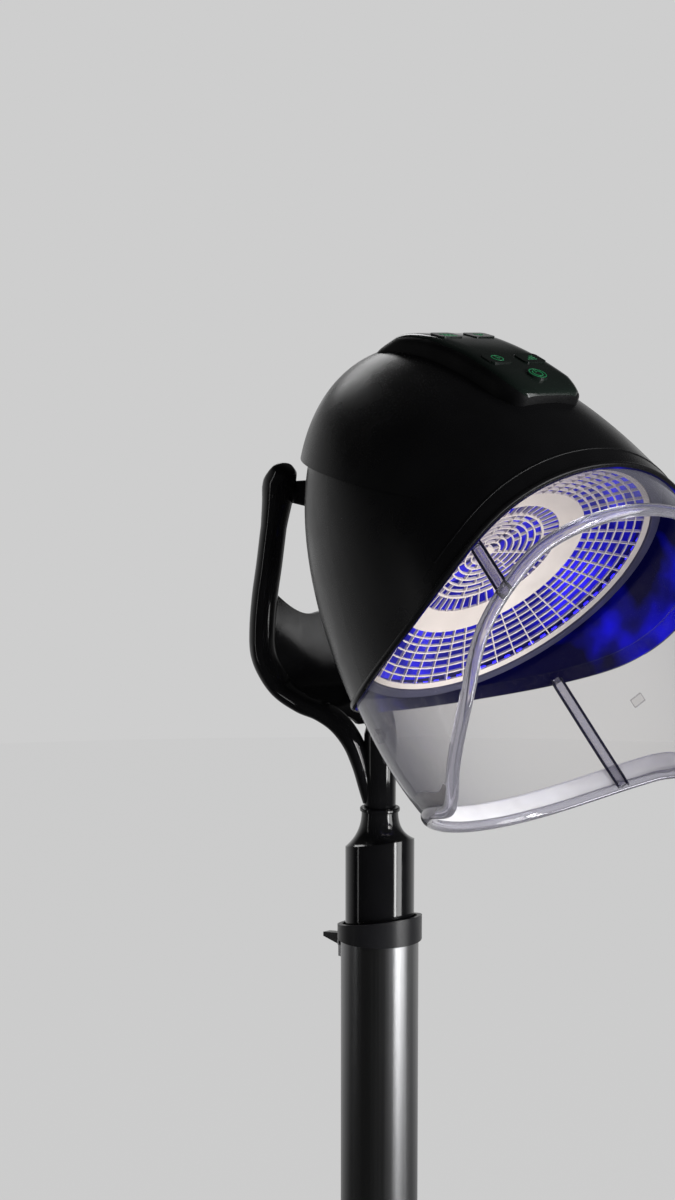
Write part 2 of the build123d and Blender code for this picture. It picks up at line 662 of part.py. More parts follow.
HEATER_HEIGHT, HEATER_RADIUS = 150.0, 78.0
with BuildPart() as heater_frame:
    with BuildSketch(HOOD.offset(HEATER_HEIGHT)):
        Circle(HEATER_RADIUS)
        Circle(HEATER_RADIUS - 2, mode=Mode.SUBTRACT)
    extrude(amount=20)
    with BuildSketch(HOOD.offset(HEATER_HEIGHT)):
        Rectangle(2 * HEATER_RADIUS - 2, 2)
        Rectangle(2, 2 * HEATER_RADIUS - 2)
        with PolarLocations(HEATER_RADIUS + 22, 4, 45):
            Rectangle(46, 8)
    extrude(amount=3)
    add(egg(LINER_INSET + LINER_WALL), mode=Mode.INTERSECT)
finish(heater_frame.part, "heater_frame")

with BuildPart() as heater_coils:
    for radius in (34, 62):
        with BuildSketch(MERIDIAN):
            with Locations((radius, HEATER_HEIGHT + 8)):
                Circle(5)
        revolve(axis=HOOD_AXIS)
finish(heater_coils.part, "heater_coils")

MOTOR_RADIUS, MOTOR_LOW, MOTOR_HIGH = 28.0, 211.0, 268.0
SHAFT_RADIUS = 3.0
with BuildPart() as motor_bracket:
    with BuildSketch(HOOD.offset(LINER_TOP)):
        Circle(70)
        Circle(10, mode=Mode.SUBTRACT)
        with PolarLocations(50, 6):
            Circle(12, mode=Mode.SUBTRACT)
    extrude(amount=MOTOR_LOW - LINER_TOP - 3)
    with BuildSketch(HOOD.offset(MOTOR_LOW - 3)):
        Circle(MOTOR_RADIUS + 4)
        Circle(10, mode=Mode.SUBTRACT)
    extrude(amount=3)
finish(motor_bracket.part, "motor_bracket")

with BuildPart() as motor:
    with BuildSketch(HOOD.offset(MOTOR_LOW)):
        Circle(MOTOR_RADIUS)
    extrude(amount=MOTOR_HIGH - MOTOR_LOW)
    fillet(motor.edges(), 4)
    with BuildSketch(HOOD.offset(MOTOR_LOW - 1)):
        Circle(SHAFT_RADIUS + RUNNING_GAP)
    extrude(amount=45, mode=Mode.SUBTRACT)
finish(motor.part, "motor")

FAN_LOW, FAN_HIGH, FAN_RADIUS = 172.0, 200.0, 48.0
with BuildPart() as motor_shaft:
    with BuildSketch(HOOD.offset(FAN_LOW - 4)):
        Circle(SHAFT_RADIUS)
    extrude(amount=MOTOR_LOW + 40 - FAN_LOW + 4)
finish(motor_shaft.part, "motor_shaft")

with BuildPart() as impeller:
    with BuildSketch(HOOD.offset(FAN_HIGH - 2.5)):
        Circle(FAN_RADIUS)
    extrude(amount=2.5)
    with BuildSketch(HOOD.offset(FAN_LOW)):
        Circle(10)
        with PolarLocations(FAN_RADIUS - 12, 16):
            with Locations(Rotation(0, 0, 35)):
                Rectangle(20, 1.6)
    extrude(amount=FAN_HIGH - FAN_LOW - 2)
    with BuildSketch(HOOD.offset(FAN_LOW - 1)):
        Circle(SHAFT_RADIUS)
    extrude(amount=40, mode=Mode.SUBTRACT)
finish(impeller.part, "impeller")

with BuildPart() as ion_unit:
    with BuildSketch(HOOD.offset(LINER_TOP)):
        with Locations((88, 0)):
            RectangleRounded(26, 34, 3)
    extrude(amount=16)
    with BuildSketch(HOOD.offset(LINER_TOP + 16)):
        with Locations((88, -9), (88, 9)):
            Circle(1.5)
    extrude(amount=6)
finish(ion_unit.part, "ion_unit")

# ---------------------------------------------------------------- control console
CORNER = 16.0
CONSOLE_LENGTH = CONSOLE_REAR_Y - CONSOLE_FRONT_Y
CONSOLE_MIDDLE = (CONSOLE_REAR_Y + CONSOLE_FRONT_Y) / 2
RIM_MARGIN = 4.0


def console_slab(lift):
    """Dome profile raised by `lift` and run straight across the console's width."""
    with BuildPart() as slab:
        with BuildSketch(SIDE):
            with BuildLine():
                arc = EllipticalCenterArc((0, 0), DOME_RADIUS + lift, DOME_HEIGHT + lift, 0, arc_size=180)
                Line(arc @ 1, arc @ 0)
            make_face()
        extrude(amount=CONSOLE_WIDTH, both=True)
    return slab.part


def console_plan(margin):
    """Rounded rectangle over the console's plan, `margin` inside its edge."""
    with BuildPart() as plan:
        with BuildSketch(Plane.XY.offset(HOOD_Z + 160)):
            with Locations((0, CONSOLE_MIDDLE)):
                RectangleRounded(CONSOLE_WIDTH - 2 * margin, CONSOLE_LENGTH - 2 * margin, CORNER - margin)
        extrude(amount=FAR)
    return plan.part


def console_plane(angle, across=0.0, lift=CONSOLE_LIFT):
    """Plane that touches the console's top at an angle round its profile."""
    turn = radians(angle)
    forward = (DOME_RADIUS + lift) * cos(turn)
    height = (DOME_HEIGHT + lift) * sin(turn)
    normal = FORWARD_DIR * (forward / (DOME_RADIUS + lift) ** 2) + CROWN_DIR * (height / (DOME_HEIGHT + lift) ** 2)
    point = HOOD_CENTRE + FORWARD_DIR * forward + CROWN_DIR * height + Vector(across, 0, 0)
    return Plane(origin=point, x_dir=(1, 0, 0), z_dir=normal)


def rear_taper(drop):
    """Block that runs the console's top down to the dome at the rear, `drop` lower."""
    with BuildPart() as block:
        with BuildSketch(Plane.YZ.offset(-CONSOLE_WIDTH)):
            with BuildLine():
                fall = Spline((-85, 1437.5 - drop), (-52, 1429.5 - drop), (-35, 1421 - drop), (-6, 1402 - drop),
                              (12, 1384 - drop))
                Polyline(fall @ 1, (90, 1384), (90, 1500), (-85, 1500), fall @ 0)
            make_face()
        extrude(amount=2 * CONSOLE_WIDTH)
    return block.part


REAR_LIFT = 4.0                  # console over the brow at its rear end
with BuildPart() as console_form:
    add(console_slab(CONSOLE_LIFT))
    add(rear_taper(0), mode=Mode.SUBTRACT)
    add(egg(-BROW_PROUD - REAR_LIFT, floor=-1.0).translate((0, BROW_SHIFT, 0)))

with BuildPart() as cover_underside:
    add(console_slab(CONSOLE_LIFT - COVER_THICKNESS))
    add(rear_taper(COVER_THICKNESS), mode=Mode.SUBTRACT)
    add(egg(COVER_THICKNESS - BROW_PROUD - REAR_LIFT, floor=-1.0).translate((0, BROW_SHIFT, 0)))
key_places = [("key_heat", 52, -18), ("key_air", 52, 18), ("key_timer", 38, -18), ("key_mode", 38, 18)]
POWER_ANGLE = 32.0
KEY_LENGTH, KEY_WIDTH, KEY_GAP, KEY_PROUD = 24.0, 18.0, 0.3, 0.6
POWER_RADIUS = 9.0
FLANGE_DROP, FLANGE_THICKNESS = 3.1, 1.0

with BuildPart() as key_wells:
    for _, angle, across in key_places:
        with BuildSketch(console_plane(angle, across).offset(-8)):
            RectangleRounded(KEY_LENGTH + 2 * KEY_GAP, KEY_WIDTH + 2 * KEY_GAP, 4)
        extrude(amount=14)
    with BuildSketch(console_plane(POWER_ANGLE).offset(-8)):
        Circle(POWER_RADIUS + KEY_GAP)
    extrude(amount=14)

with BuildPart() as panel_cover:
    add(console_form.part)
    add(cover_underside.part, mode=Mode.SUBTRACT)
    add(console_plan(RIM_MARGIN), mode=Mode.INTERSECT)
    add(key_wells.part, mode=Mode.SUBTRACT)
finish(panel_cover.part, "panel_cover")

with BuildPart() as cover_seat:
    add(console_slab(CONSOLE_LIFT + 5))
    add(cover_underside.part, mode=Mode.SUBTRACT)
    add(console_plan(RIM_MARGIN), mode=Mode.INTERSECT)

with BuildPart() as cavity:
    add(cover_underside.part)
    add(console_slab(3.5), mode=Mode.SUBTRACT)
    add(console_plan(RIM_MARGIN + 3), mode=Mode.INTERSECT)

with BuildPart() as panel_housing:
    add(console_form.part)
    add(console_plan(0), mode=Mode.INTERSECT)
    add(outer_form.part, mode=Mode.SUBTRACT)
    add(dome, mode=Mode.SUBTRACT)
    add(cover_seat.part, mode=Mode.SUBTRACT)
    add(cavity.part, mode=Mode.SUBTRACT)
finish(panel_housing.part, "panel_housing")

for label, angle, across in key_places:
    with BuildPart() as key:
        with BuildSketch(console_plane(angle, across).offset(-FLANGE_DROP)):
            RectangleRounded(KEY_LENGTH, KEY_WIDTH, 4)
        extrude(amount=FLANGE_DROP + KEY_PROUD)
        with BuildSketch(console_plane(angle, across).offset(-FLANGE_DROP - FLANGE_THICKNESS)):
            RectangleRounded(KEY_LENGTH + 3, KEY_WIDTH + 3, 4)
        extrude(amount=FLANGE_THICKNESS)
    finish(key.part, label)

with BuildPart() as key_power:
    with BuildSketch(console_plane(POWER_ANGLE).offset(-FLANGE_DROP)):
        Circle(POWER_RADIUS)
    extrude(amount=FLANGE_DROP + 2 * KEY_PROUD)
    with BuildSketch(console_plane(POWER_ANGLE).offset(-FLANGE_DROP - FLANGE_THICKNESS)):
        Circle(POWER_RADIUS + 1)
    extrude(amount=FLANGE_THICKNESS)
finish(key_power.part, "key_power")

BOARD_LIFT, BOARD_THICKNESS = 5.0, 1.2
with BuildPart() as control_board:
    with BuildSketch(console_plane(44, 0, BOARD_LIFT).offset(-BOARD_THICKNESS / 2)):
        Rectangle(64, 56)
    extrude(amount=BOARD_THICKNESS)
finish(control_board.part, "control_board")
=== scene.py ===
"""Standing hood hair dryer: the looks of its hood, arm, column and castor base."""

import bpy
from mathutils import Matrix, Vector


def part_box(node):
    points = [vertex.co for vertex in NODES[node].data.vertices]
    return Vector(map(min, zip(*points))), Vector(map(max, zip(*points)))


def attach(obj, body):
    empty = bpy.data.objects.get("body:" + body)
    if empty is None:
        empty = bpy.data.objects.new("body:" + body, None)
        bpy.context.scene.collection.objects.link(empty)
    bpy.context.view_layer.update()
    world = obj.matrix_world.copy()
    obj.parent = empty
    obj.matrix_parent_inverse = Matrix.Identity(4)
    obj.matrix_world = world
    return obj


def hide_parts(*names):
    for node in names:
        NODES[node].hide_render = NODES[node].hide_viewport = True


bl_info = {
    "name": "Hood Hair Dryer",
    "version": (1, 0, 0),
    "blender": (4, 5, 0),
    "location": "View3D > Sidebar > Hood Dryer",
    "description": "Builds the visible pieces of a standing hood hair dryer round its CAD frame",
    "category": "Add Mesh",
}

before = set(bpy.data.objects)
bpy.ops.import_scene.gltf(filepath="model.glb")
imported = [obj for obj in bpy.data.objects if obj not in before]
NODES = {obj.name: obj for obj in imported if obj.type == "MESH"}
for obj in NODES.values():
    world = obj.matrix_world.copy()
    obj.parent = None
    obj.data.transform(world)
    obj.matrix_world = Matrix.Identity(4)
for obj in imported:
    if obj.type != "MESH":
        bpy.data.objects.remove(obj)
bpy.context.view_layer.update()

import math
import random

import bmesh
import bpy
from bpy.props import FloatProperty, FloatVectorProperty, IntProperty, PointerProperty
from mathutils import Matrix, Vector

MM = 0.001

# ---------------------------------------------------------------- the hood's own frame
TILT = math.radians(46)
CROWN = Vector((0, math.sin(TILT), math.cos(TILT)))
FORWARD = Vector((0, -math.cos(TILT), math.sin(TILT)))
ACROSS = Vector((1, 0, 0))
CENTRE = Vector((0, -0.225, 1.169))
HOOD = Matrix((
    (1, 0, 0, CENTRE.x),
    (0, -FORWARD.y, CROWN.y, CENTRE.y),
    (0, -FORWARD.z, CROWN.z, CENTRE.z),
    (0, 0, 0, 1)))
DOME_RADIUS, DOME_HEIGHT, SKIRT_HEIGHT = 0.163, 0.326, 0.230
# (forward, height) points of the lower edges of the shell and the visor, millimetres
SHELL_EDGE = ((-175, 90), (-158, 80), (-110, 54), (-60, 33), (0, 24), (50, 28), (90, 41), (130, 60),
              (155, 69), (175, 73))
MOUTH_EDGE = ((-175, -46), (-120, -60), (-82, -74), (-48, -92), (-10, -79), (38, -53), (77, -21),
              (109, 0), (134, 14), (175, 22))
GRILLE_RADIUS, GRILLE_HEIGHT, GRILLE_CROWN = 0.139, 0.088, 0.034


def hood_radius(height, inset=0.0):
    """Radius of the dome's wall at a height along the hood's axis."""
    rise = SKIRT_HEIGHT if height < 0 else DOME_HEIGHT - inset
    return (DOME_RADIUS - inset) * math.sqrt(max(1 - (height / rise) ** 2, 0))


def hood_place(turn, height, inset=0.0):
    """Point of the dome's wall, turned from the forehead side towards +X, in the world's frame."""
    radius = hood_radius(height, inset)
    local = Vector((radius * math.sin(turn), -radius * math.cos(turn), height))
    return HOOD @ local


def hood_normal(turn, height):
    """Outward direction of the dome's wall there."""
    rise = SKIRT_HEIGHT if height < 0 else DOME_HEIGHT
    radius = hood_radius(height)
    slope = Vector((radius * math.sin(turn) / DOME_RADIUS ** 2,
                    -radius * math.cos(turn) / DOME_RADIUS ** 2, height / rise ** 2))
    return (HOOD.to_3x3() @ slope).normalized()


def eased(points, value):
    """Height of a smooth run through (forward, height) points, all in millimetres."""
    last = len(points) - 1
    spot = next((i for i in range(last) if points[i + 1][0] >= value), last - 1)
    (x1, y1), (x2, y2) = points[spot], points[spot + 1]
    x0, y0 = points[max(spot - 1, 0)]
    x3, y3 = points[min(spot + 2, last)]
    t = min(max((value - x1) / (x2 - x1), 0), 1)
    rise1 = (y2 - y0) / max(x2 - x0, 1) * (x2 - x1)
    rise2 = (y3 - y1) / max(x3 - x1, 1) * (x2 - x1)
    return ((2 * t ** 3 - 3 * t ** 2 + 1) * y1 + (t ** 3 - 2 * t ** 2 + t) * rise1
            + (3 * t ** 2 - 2 * t ** 3) * y2 + (t ** 3 - t ** 2) * rise2)


def edge_height(points, turn, inset=0.0):
    """Height at which a run of (forward, height) points crosses the wall at a turn."""
    height = 0.0
    for _ in range(8):
        height = eased(points, hood_radius(height, inset) * math.cos(turn) / MM) * MM
    return height


# ---------------------------------------------------------------- shader sums
class Wire:
    """A shader value that goes into ordinary sums."""

    def __init__(self, finish, socket):
        self.finish, self.socket = finish, socket

    def _sum(self, operation, first, second):
        return self.finish.node("ShaderNodeMath", {"operation": operation}, {0: first, 1: second})

    def __add__(self, other):
        return self._sum("ADD", self, other)

    def __radd__(self, other):
        return self._sum("ADD", other, self)

    def __sub__(self, other):
        return self._sum("SUBTRACT", self, other)

    def __rsub__(self, other):
        return self._sum("SUBTRACT", other, self)

    def __mul__(self, other):
        return self._sum("MULTIPLY", self, other)

    def __rmul__(self, other):
        return self._sum("MULTIPLY", other, self)

    def __pow__(self, other):
        return self._sum("POWER", self, other)

    def __lt__(self, other):
        return self._sum("LESS_THAN", self, other)

    def __gt__(self, other):
        return self._sum("GREATER_THAN", self, other)


class Finish:
    """A material, or the world, and the nodes that it is made of."""

    def __init__(self, name, owner=None):
        self.material = owner or bpy.data.materials.new(name)
        self.material.use_nodes = True
        self.tree = self.material.node_tree
        self.tree.nodes.clear()

    def node(self, kind, settings=None, sockets=None, out=0):
        """Any node: its settings first, then the values or links of its sockets."""
        made = self.tree.nodes.new(kind)
        for key, value in (settings or {}).items():
            if key == "stops":
                ramp = made.color_ramp.elements
                while len(ramp) < len(value):
                    ramp.new(0.5)
                for element, (place, colour) in zip(ramp, value):
                    element.position = place
                    element.color = (*colour, 1)
            else:
                setattr(made, key, value)
        for key, value in (sockets or {}).items():
            if isinstance(value, Wire):
                self.tree.links.new(value.socket, made.inputs[key])
            else:
                made.inputs[key].default_value = value
        return Wire(self, made.outputs[out]) if made.outputs else None

    def place(self):
        return self.node("ShaderNodeTexCoord", out="Object")

    def ray(self, kind):
        """One on rays of this kind, which is Camera, Glossy or Transmission."""
        return self.node("ShaderNodeLightPath", out=f"Is {kind} Ray")

    def noise(self, scale, detail=2.0, where=None):
        return self.node("ShaderNodeTexNoise", {},
                         {"Vector": where or self.place(), "Scale": scale, "Detail": detail})

    def stretched(self, scale):
        """Object coordinates, scaled on each axis."""
        return self.node("ShaderNodeMapping", {}, {"Vector": self.place(), "Scale": scale})

    def ramp(self, value, stops):
        return self.node("ShaderNodeValToRGB", {"stops": stops}, {"Fac": value})

    def mixed(self, mask, first, second):
        """Colour that goes from the first to the second with the mask."""
        ends = [(*c, 1) if isinstance(c, (tuple, list)) else c for c in (first, second)]
        return self.node("ShaderNodeMix", {"data_type": "RGBA"},
                         {0: mask, 6: ends[0], 7: ends[1]}, out=2)

    def range(self, value, low, high, from_low=0.3, from_high=0.7):
        return self.node("ShaderNodeMapRange", {}, {
            "Value": value, "From Min": from_low, "From Max": from_high, "To Min": low, "To Max": high})

    def dot(self, vector, direction):
        return self.node("ShaderNodeVectorMath", {"operation": "DOT_PRODUCT"},
                         {0: vector, 1: direction}, out=1)

    def bump(self, height, strength, distance=0.001):
        return self.node("ShaderNodeBump", {},
                         {"Height": height, "Strength": strength, "Distance": distance})

    def principled(self, **sockets):
        """The main shader, with its socket names written with underscores."""
        named = {}
        for key, value in sockets.items():
            colour = isinstance(value, tuple) and len(value) == 3
            named[key.replace("_", " ")] = (*value, 1) if colour else value
        return self.node("ShaderNodeBsdfPrincipled", {}, named)

    def done(self, surface):
        self.node("ShaderNodeOutputMaterial", {}, {"Surface": surface})
        return self.material


# ---------------------------------------------------------------- sizes and colours a user may change
class HoodSizes(bpy.types.PropertyGroup):
    """Sizes of the visible pieces."""
    rail_width: FloatProperty(name="Rail width",
                              description="Width of each rail of the arm across the hood",
                              default=0.0225, min=0.008, max=0.03, unit="LENGTH")
    rail_depth: FloatProperty(name="Rail depth", description="Depth of each rail of the arm",
                              default=0.0190, min=0.008, max=0.03, unit="LENGTH")
    rim_width: FloatProperty(name="Rim width", description="Height of the visor's rounded rim",
                             default=0.0115, min=0.004, max=0.015, unit="LENGTH")
    rib_width: FloatProperty(name="Rib width", description="Width of the moulded ribs of the visor",
                             default=0.0045, min=0.002, max=0.008, unit="LENGTH")
    grille_columns: IntProperty(name="Grille ribs",
                                description="Radial ribs round the outer part of the grille",
                                default=48, min=24, max=120)
    grille_rows: IntProperty(name="Grille rows",
                             description="Rows of slots in the outer part of the grille",
                             default=7, min=3, max=10)
    lamp_count: IntProperty(name="Light chips",
                            description="Small light chips behind the grille's edge",
                            default=72, min=12, max=160)
    floor_radius: FloatProperty(name="Floor radius", description="Radius of the plain floor",
                                default=6.0, min=1.0, max=20.0, unit="LENGTH")


class HoodColours(bpy.types.PropertyGroup):
    """Colours of the finishes."""
    shell: FloatVectorProperty(name="Shell", description="Moulded shell of the hood", subtype="COLOR",
                               default=(0.0042, 0.0042, 0.0046), min=0, max=1)
    console: FloatVectorProperty(name="Console top", description="Glossy cover of the control console",
                                 subtype="COLOR", default=(0.0045, 0.0070, 0.0058), min=0, max=1)
    grille: FloatVectorProperty(name="Grille", description="Moulded grille above the head",
                                subtype="COLOR", default=(0.66, 0.60, 0.56), min=0, max=1)
    light: FloatVectorProperty(name="Light", description="Light behind the grille", subtype="COLOR",
                               default=(0.014, 0.008, 1.0), min=0, max=1)
    icon: FloatVectorProperty(name="Icons", description="Lit icons of the console", subtype="COLOR",
                              default=(0.01, 0.30, 0.10), min=0, max=1)
    visor: FloatVectorProperty(name="Visor", description="Tint of the clear visor", subtype="COLOR",
                               default=(0.975, 0.968, 0.965), min=0, max=1)
    backdrop: FloatVectorProperty(name="Backdrop", description="Plain floor and backdrop",
                                  subtype="COLOR", default=(0.617, 0.617, 0.617), min=0, max=1)


def sizes():
    return bpy.context.scene.hood_sizes


def colours():
    return bpy.context.scene.hood_colours


# ---------------------------------------------------------------- finishes
def gloss_plastic(name, colour, low, high, grain, coat, shine):
    """Polished dark moulding with faint haze, dust and moulding waves.

    Roughness runs from low to high; grain is the waves' bump, and shine the specular level.
    """
    f = Finish(name)
    haze = f.noise(22.0, 3.0)
    dust = f.noise(900.0, 1.0)
    wave = f.noise(60.0, 2.0)
    base = f.mixed(f.range(haze, 0, 1), colour, tuple(c * 1.5 + 0.001 for c in colour))
    rough = f.range(haze, low, high) + f.range(dust, 0, 0.05, 0.62, 0.75)
    return f.done(f.principled(Base_Color=base, Roughness=rough, Specular_IOR_Level=shine,
                               Coat_Weight=coat, Coat_Roughness=0.08, Normal=f.bump(wave, grain)))


def shell_finish():
    """The shell's black gloss outside, and inside it a dark wall with painted blue light: a blue-tinted
    base and glowing patches stand in for the LED's light.
    """
    f = Finish("shell_gloss")
    place = f.node("ShaderNodeVectorMath", {"operation": "SUBTRACT"}, {0: f.place(), 1: CENTRE})
    side, ahead, up = f.dot(place, ACROSS), f.dot(place, FORWARD), f.dot(place, CROWN)
    # one on the dome's outer face, less inside it
    level = (side * side + ahead * ahead) * (1 / DOME_RADIUS ** 2) + up * up * (1 / DOME_HEIGHT ** 2)
    inner = level < 0.975
    haze, wave = f.noise(18.0, 3.0), f.noise(55.0, 2.0)
    dust = f.noise(1100.0, 1.0)
    black = tuple(colours().shell)
    outside = f.mixed(f.range(haze, 0, 1), black, tuple(c * 1.45 for c in black))
    # painted light: inside the dome the base turns dark blue and emission patches glow, standing in for
    # the blue LED light
    base = f.mixed(inner, outside, (0.002, 0.002, 0.014))
    painted_light_patches = f.ramp(f.noise(16.0, 2.5), [
        (0.50, (0.0002, 0.0002, 0.010)), (0.58, (0.0006, 0.0006, 0.09)), (0.72, (0.003, 0.002, 0.50))])
    painted_glow = f.mixed(inner, (0, 0, 0), painted_light_patches)
    rough = f.range(haze, 0.20, 0.32) + f.range(dust, 0, 0.06, 0.6, 0.75) - inner * 0.06
    return f.done(f.principled(Base_Color=base, Roughness=rough, Specular_IOR_Level=0.14,
                               Emission_Color=painted_glow, Emission_Strength=1.5, Normal=f.bump(wave, 0.05)))


def console_finish():
    """Fine-grained matt black of the console's raised side wall."""
    f = Finish("console_matte")
    grain = f.noise(1400.0, 2.0)
    base = f.mixed(f.range(f.noise(40.0), 0, 1), (0.0030, 0.0030, 0.0033), (0.0055, 0.0055, 0.0058))
    return f.done(f.principled(Base_Color=base, Roughness=f.range(grain, 0.42, 0.6),
                               Specular_IOR_Level=0.05, Normal=f.bump(grain, 0.15, 0.0003)))


def visor_finish(name="clear_visor", body=0.016, smoke=(0.10, 0.10, 0.12)):
    """Clear moulding: tinted straight through, smoky and glossy at glancing angles.

    Body is the least share of smoke, seen face on.
    """
    f = Finish(name)
    clear = f.node("ShaderNodeBsdfTransparent", {}, {"Color": (*colours().visor, 1)})
    haze = f.noise(14.0, 3.0)
    lighter = tuple(min(c * 1.7, 1) for c in smoke)
    gloss = f.principled(Base_Color=f.mixed(f.range(haze, 0, 1), smoke, lighter),
                         Roughness=f.range(haze, 0.05, 0.14), Specular_IOR_Level=0.6)
    facing = f.node("ShaderNodeLayerWeight", {}, {"Blend": 0.5}, out="Facing")
    cover = facing ** 1.9 * 0.95 + f.range(haze, body, body * 1.6)
    return f.done(f.node("ShaderNodeMixShader", {}, {0: cover, 1: clear, 2: gloss}))


def solid_clear_finish():
    """Thick clear moulding that bends what is seen through it."""
    f = Finish("clear_rim")
    streak = f.noise(30.0, 2.0)
    return f.done(f.principled(Base_Color=(0.60, 0.59, 0.66), Roughness=f.range(streak, 0.04, 0.12),
                               IOR=1.49, Transmission_Weight=0.86, Specular_IOR_Level=0.5,
                               Normal=f.bump(streak, 0.04)))


def cream_finish():
    """Warm off-white moulding with faint yellowing in random blotches."""
    f = Finish("cream_plastic")
    blotch, grain = f.noise(26.0, 3.0), f.noise(700.0, 2.0)
    cream = tuple(colours().grille)
    base = f.mixed(f.range(blotch, 0, 1), cream, tuple(c * 0.86 for c in cream))
    return f.done(f.principled(Base_Color=base, Roughness=f.range(grain, 0.34, 0.5),
                               Specular_IOR_Level=0.5, Normal=f.bump(grain, 0.1, 0.0004)))


def light_finish():
    """Lit chips of the strip behind the grille."""
    f = Finish("led_strip")
    return f.done(f.principled(Base_Color=(0.1, 0.1, 0.5), Roughness=0.4,
                               Emission_Color=tuple(colours().light), Emission_Strength=5.0))


def liner_finish():
    """Brushed sheet that lines the air path, with painted blue light: its blue base and glowing patches
    stand in for the LED's light.
    """
    f = Finish("liner_aluminium")
    brush = f.noise(1.0, 2.0, f.stretched((60, 60, 900)))
    painted_light_patches = f.noise(24.0, 2.0)
    # painted light: blue emission and a blue base colour stand in for the LED light washed over the sheet
    painted_glow = f.ramp(painted_light_patches, [
        (0.36, (0.002, 0.001, 0.07)), (0.52, (0.006, 0.003, 0.30)), (0.68, (0.03, 0.015, 0.9))])
    base = f.mixed(f.range(painted_light_patches, 0, 1), (0.035, 0.035, 0.26), (0.06, 0.06, 0.40))
    return f.done(f.principled(Base_Color=base, Metallic=0.5, Roughness=f.range(brush, 0.3, 0.5),
                               Emission_Color=painted_glow, Emission_Strength=1.0, Normal=f.bump(brush, 0.1)))


def metal(name, colour, low, high, coat=0.0):
    """Brushed metal with fine level lines."""
    f = Finish(name)
    lines = f.noise(1.0, 3.0, f.stretched((60, 60, 900)))
    cloud = f.noise(14.0, 2.0)
    base = f.mixed(f.range(cloud, 0, 1), colour, tuple(min(c * 1.18, 1) for c in colour))
    return f.done(f.principled(Base_Color=base, Metallic=1.0, Roughness=f.range(lines, low, high),
                               Coat_Weight=coat, Coat_Roughness=0.12, Normal=f.bump(lines, 0.06)))


def painted(name, colour, low, high, painted_glow=0.0):
    """Paint, rubber or matt moulding with a fine grain, and with painted blue light: emission of the given
    strength stands in for the LED light washed over it.
    """
    f = Finish(name)
    grain, cloud = f.noise(900.0, 2.0), f.noise(20.0, 2.0)
    base = f.mixed(f.range(cloud, 0, 1), colour, tuple(min(c * 1.3 + 0.002, 1) for c in colour))
    # painted light: a blue emission colour, used when a strength is given, standing in for the LED's light
    light = f.mixed(f.range(cloud, 0, 1), (0.004, 0.002, 0.20), (0.02, 0.01, 0.75))
    lit = {"Emission_Color": light, "Emission_Strength": painted_glow} if painted_glow else {}
    return f.done(f.principled(Base_Color=base, Roughness=f.range(grain, low, high),
                               Specular_IOR_Level=0.3, Normal=f.bump(grain, 0.12, 0.0004), **lit))


def column_finish():
    """Smoked anodised tube: satin, with faint drawn lines up its length."""
    f = Finish("column_metal")
    lines = f.noise(1.0, 3.0, f.stretched((500, 500, 2.2)))
    cloud = f.noise(6.0, 2.0)
    base = f.mixed(f.range(cloud, 0, 1), (0.200, 0.201, 0.205), (0.240, 0.241, 0.246))
    return f.done(f.principled(Base_Color=base, Metallic=1.0, Roughness=f.range(lines, 0.28, 0.36),
                               Normal=f.bump(lines, 0.05)))


def lit_icon_finish():
    """Softly lit green print under the console's cover."""
    f = Finish("icon_green")
    return f.done(f.principled(Base_Color=(0.01, 0.10, 0.04), Roughness=0.4,
                               Emission_Color=tuple(colours().icon), Emission_Strength=0.25))


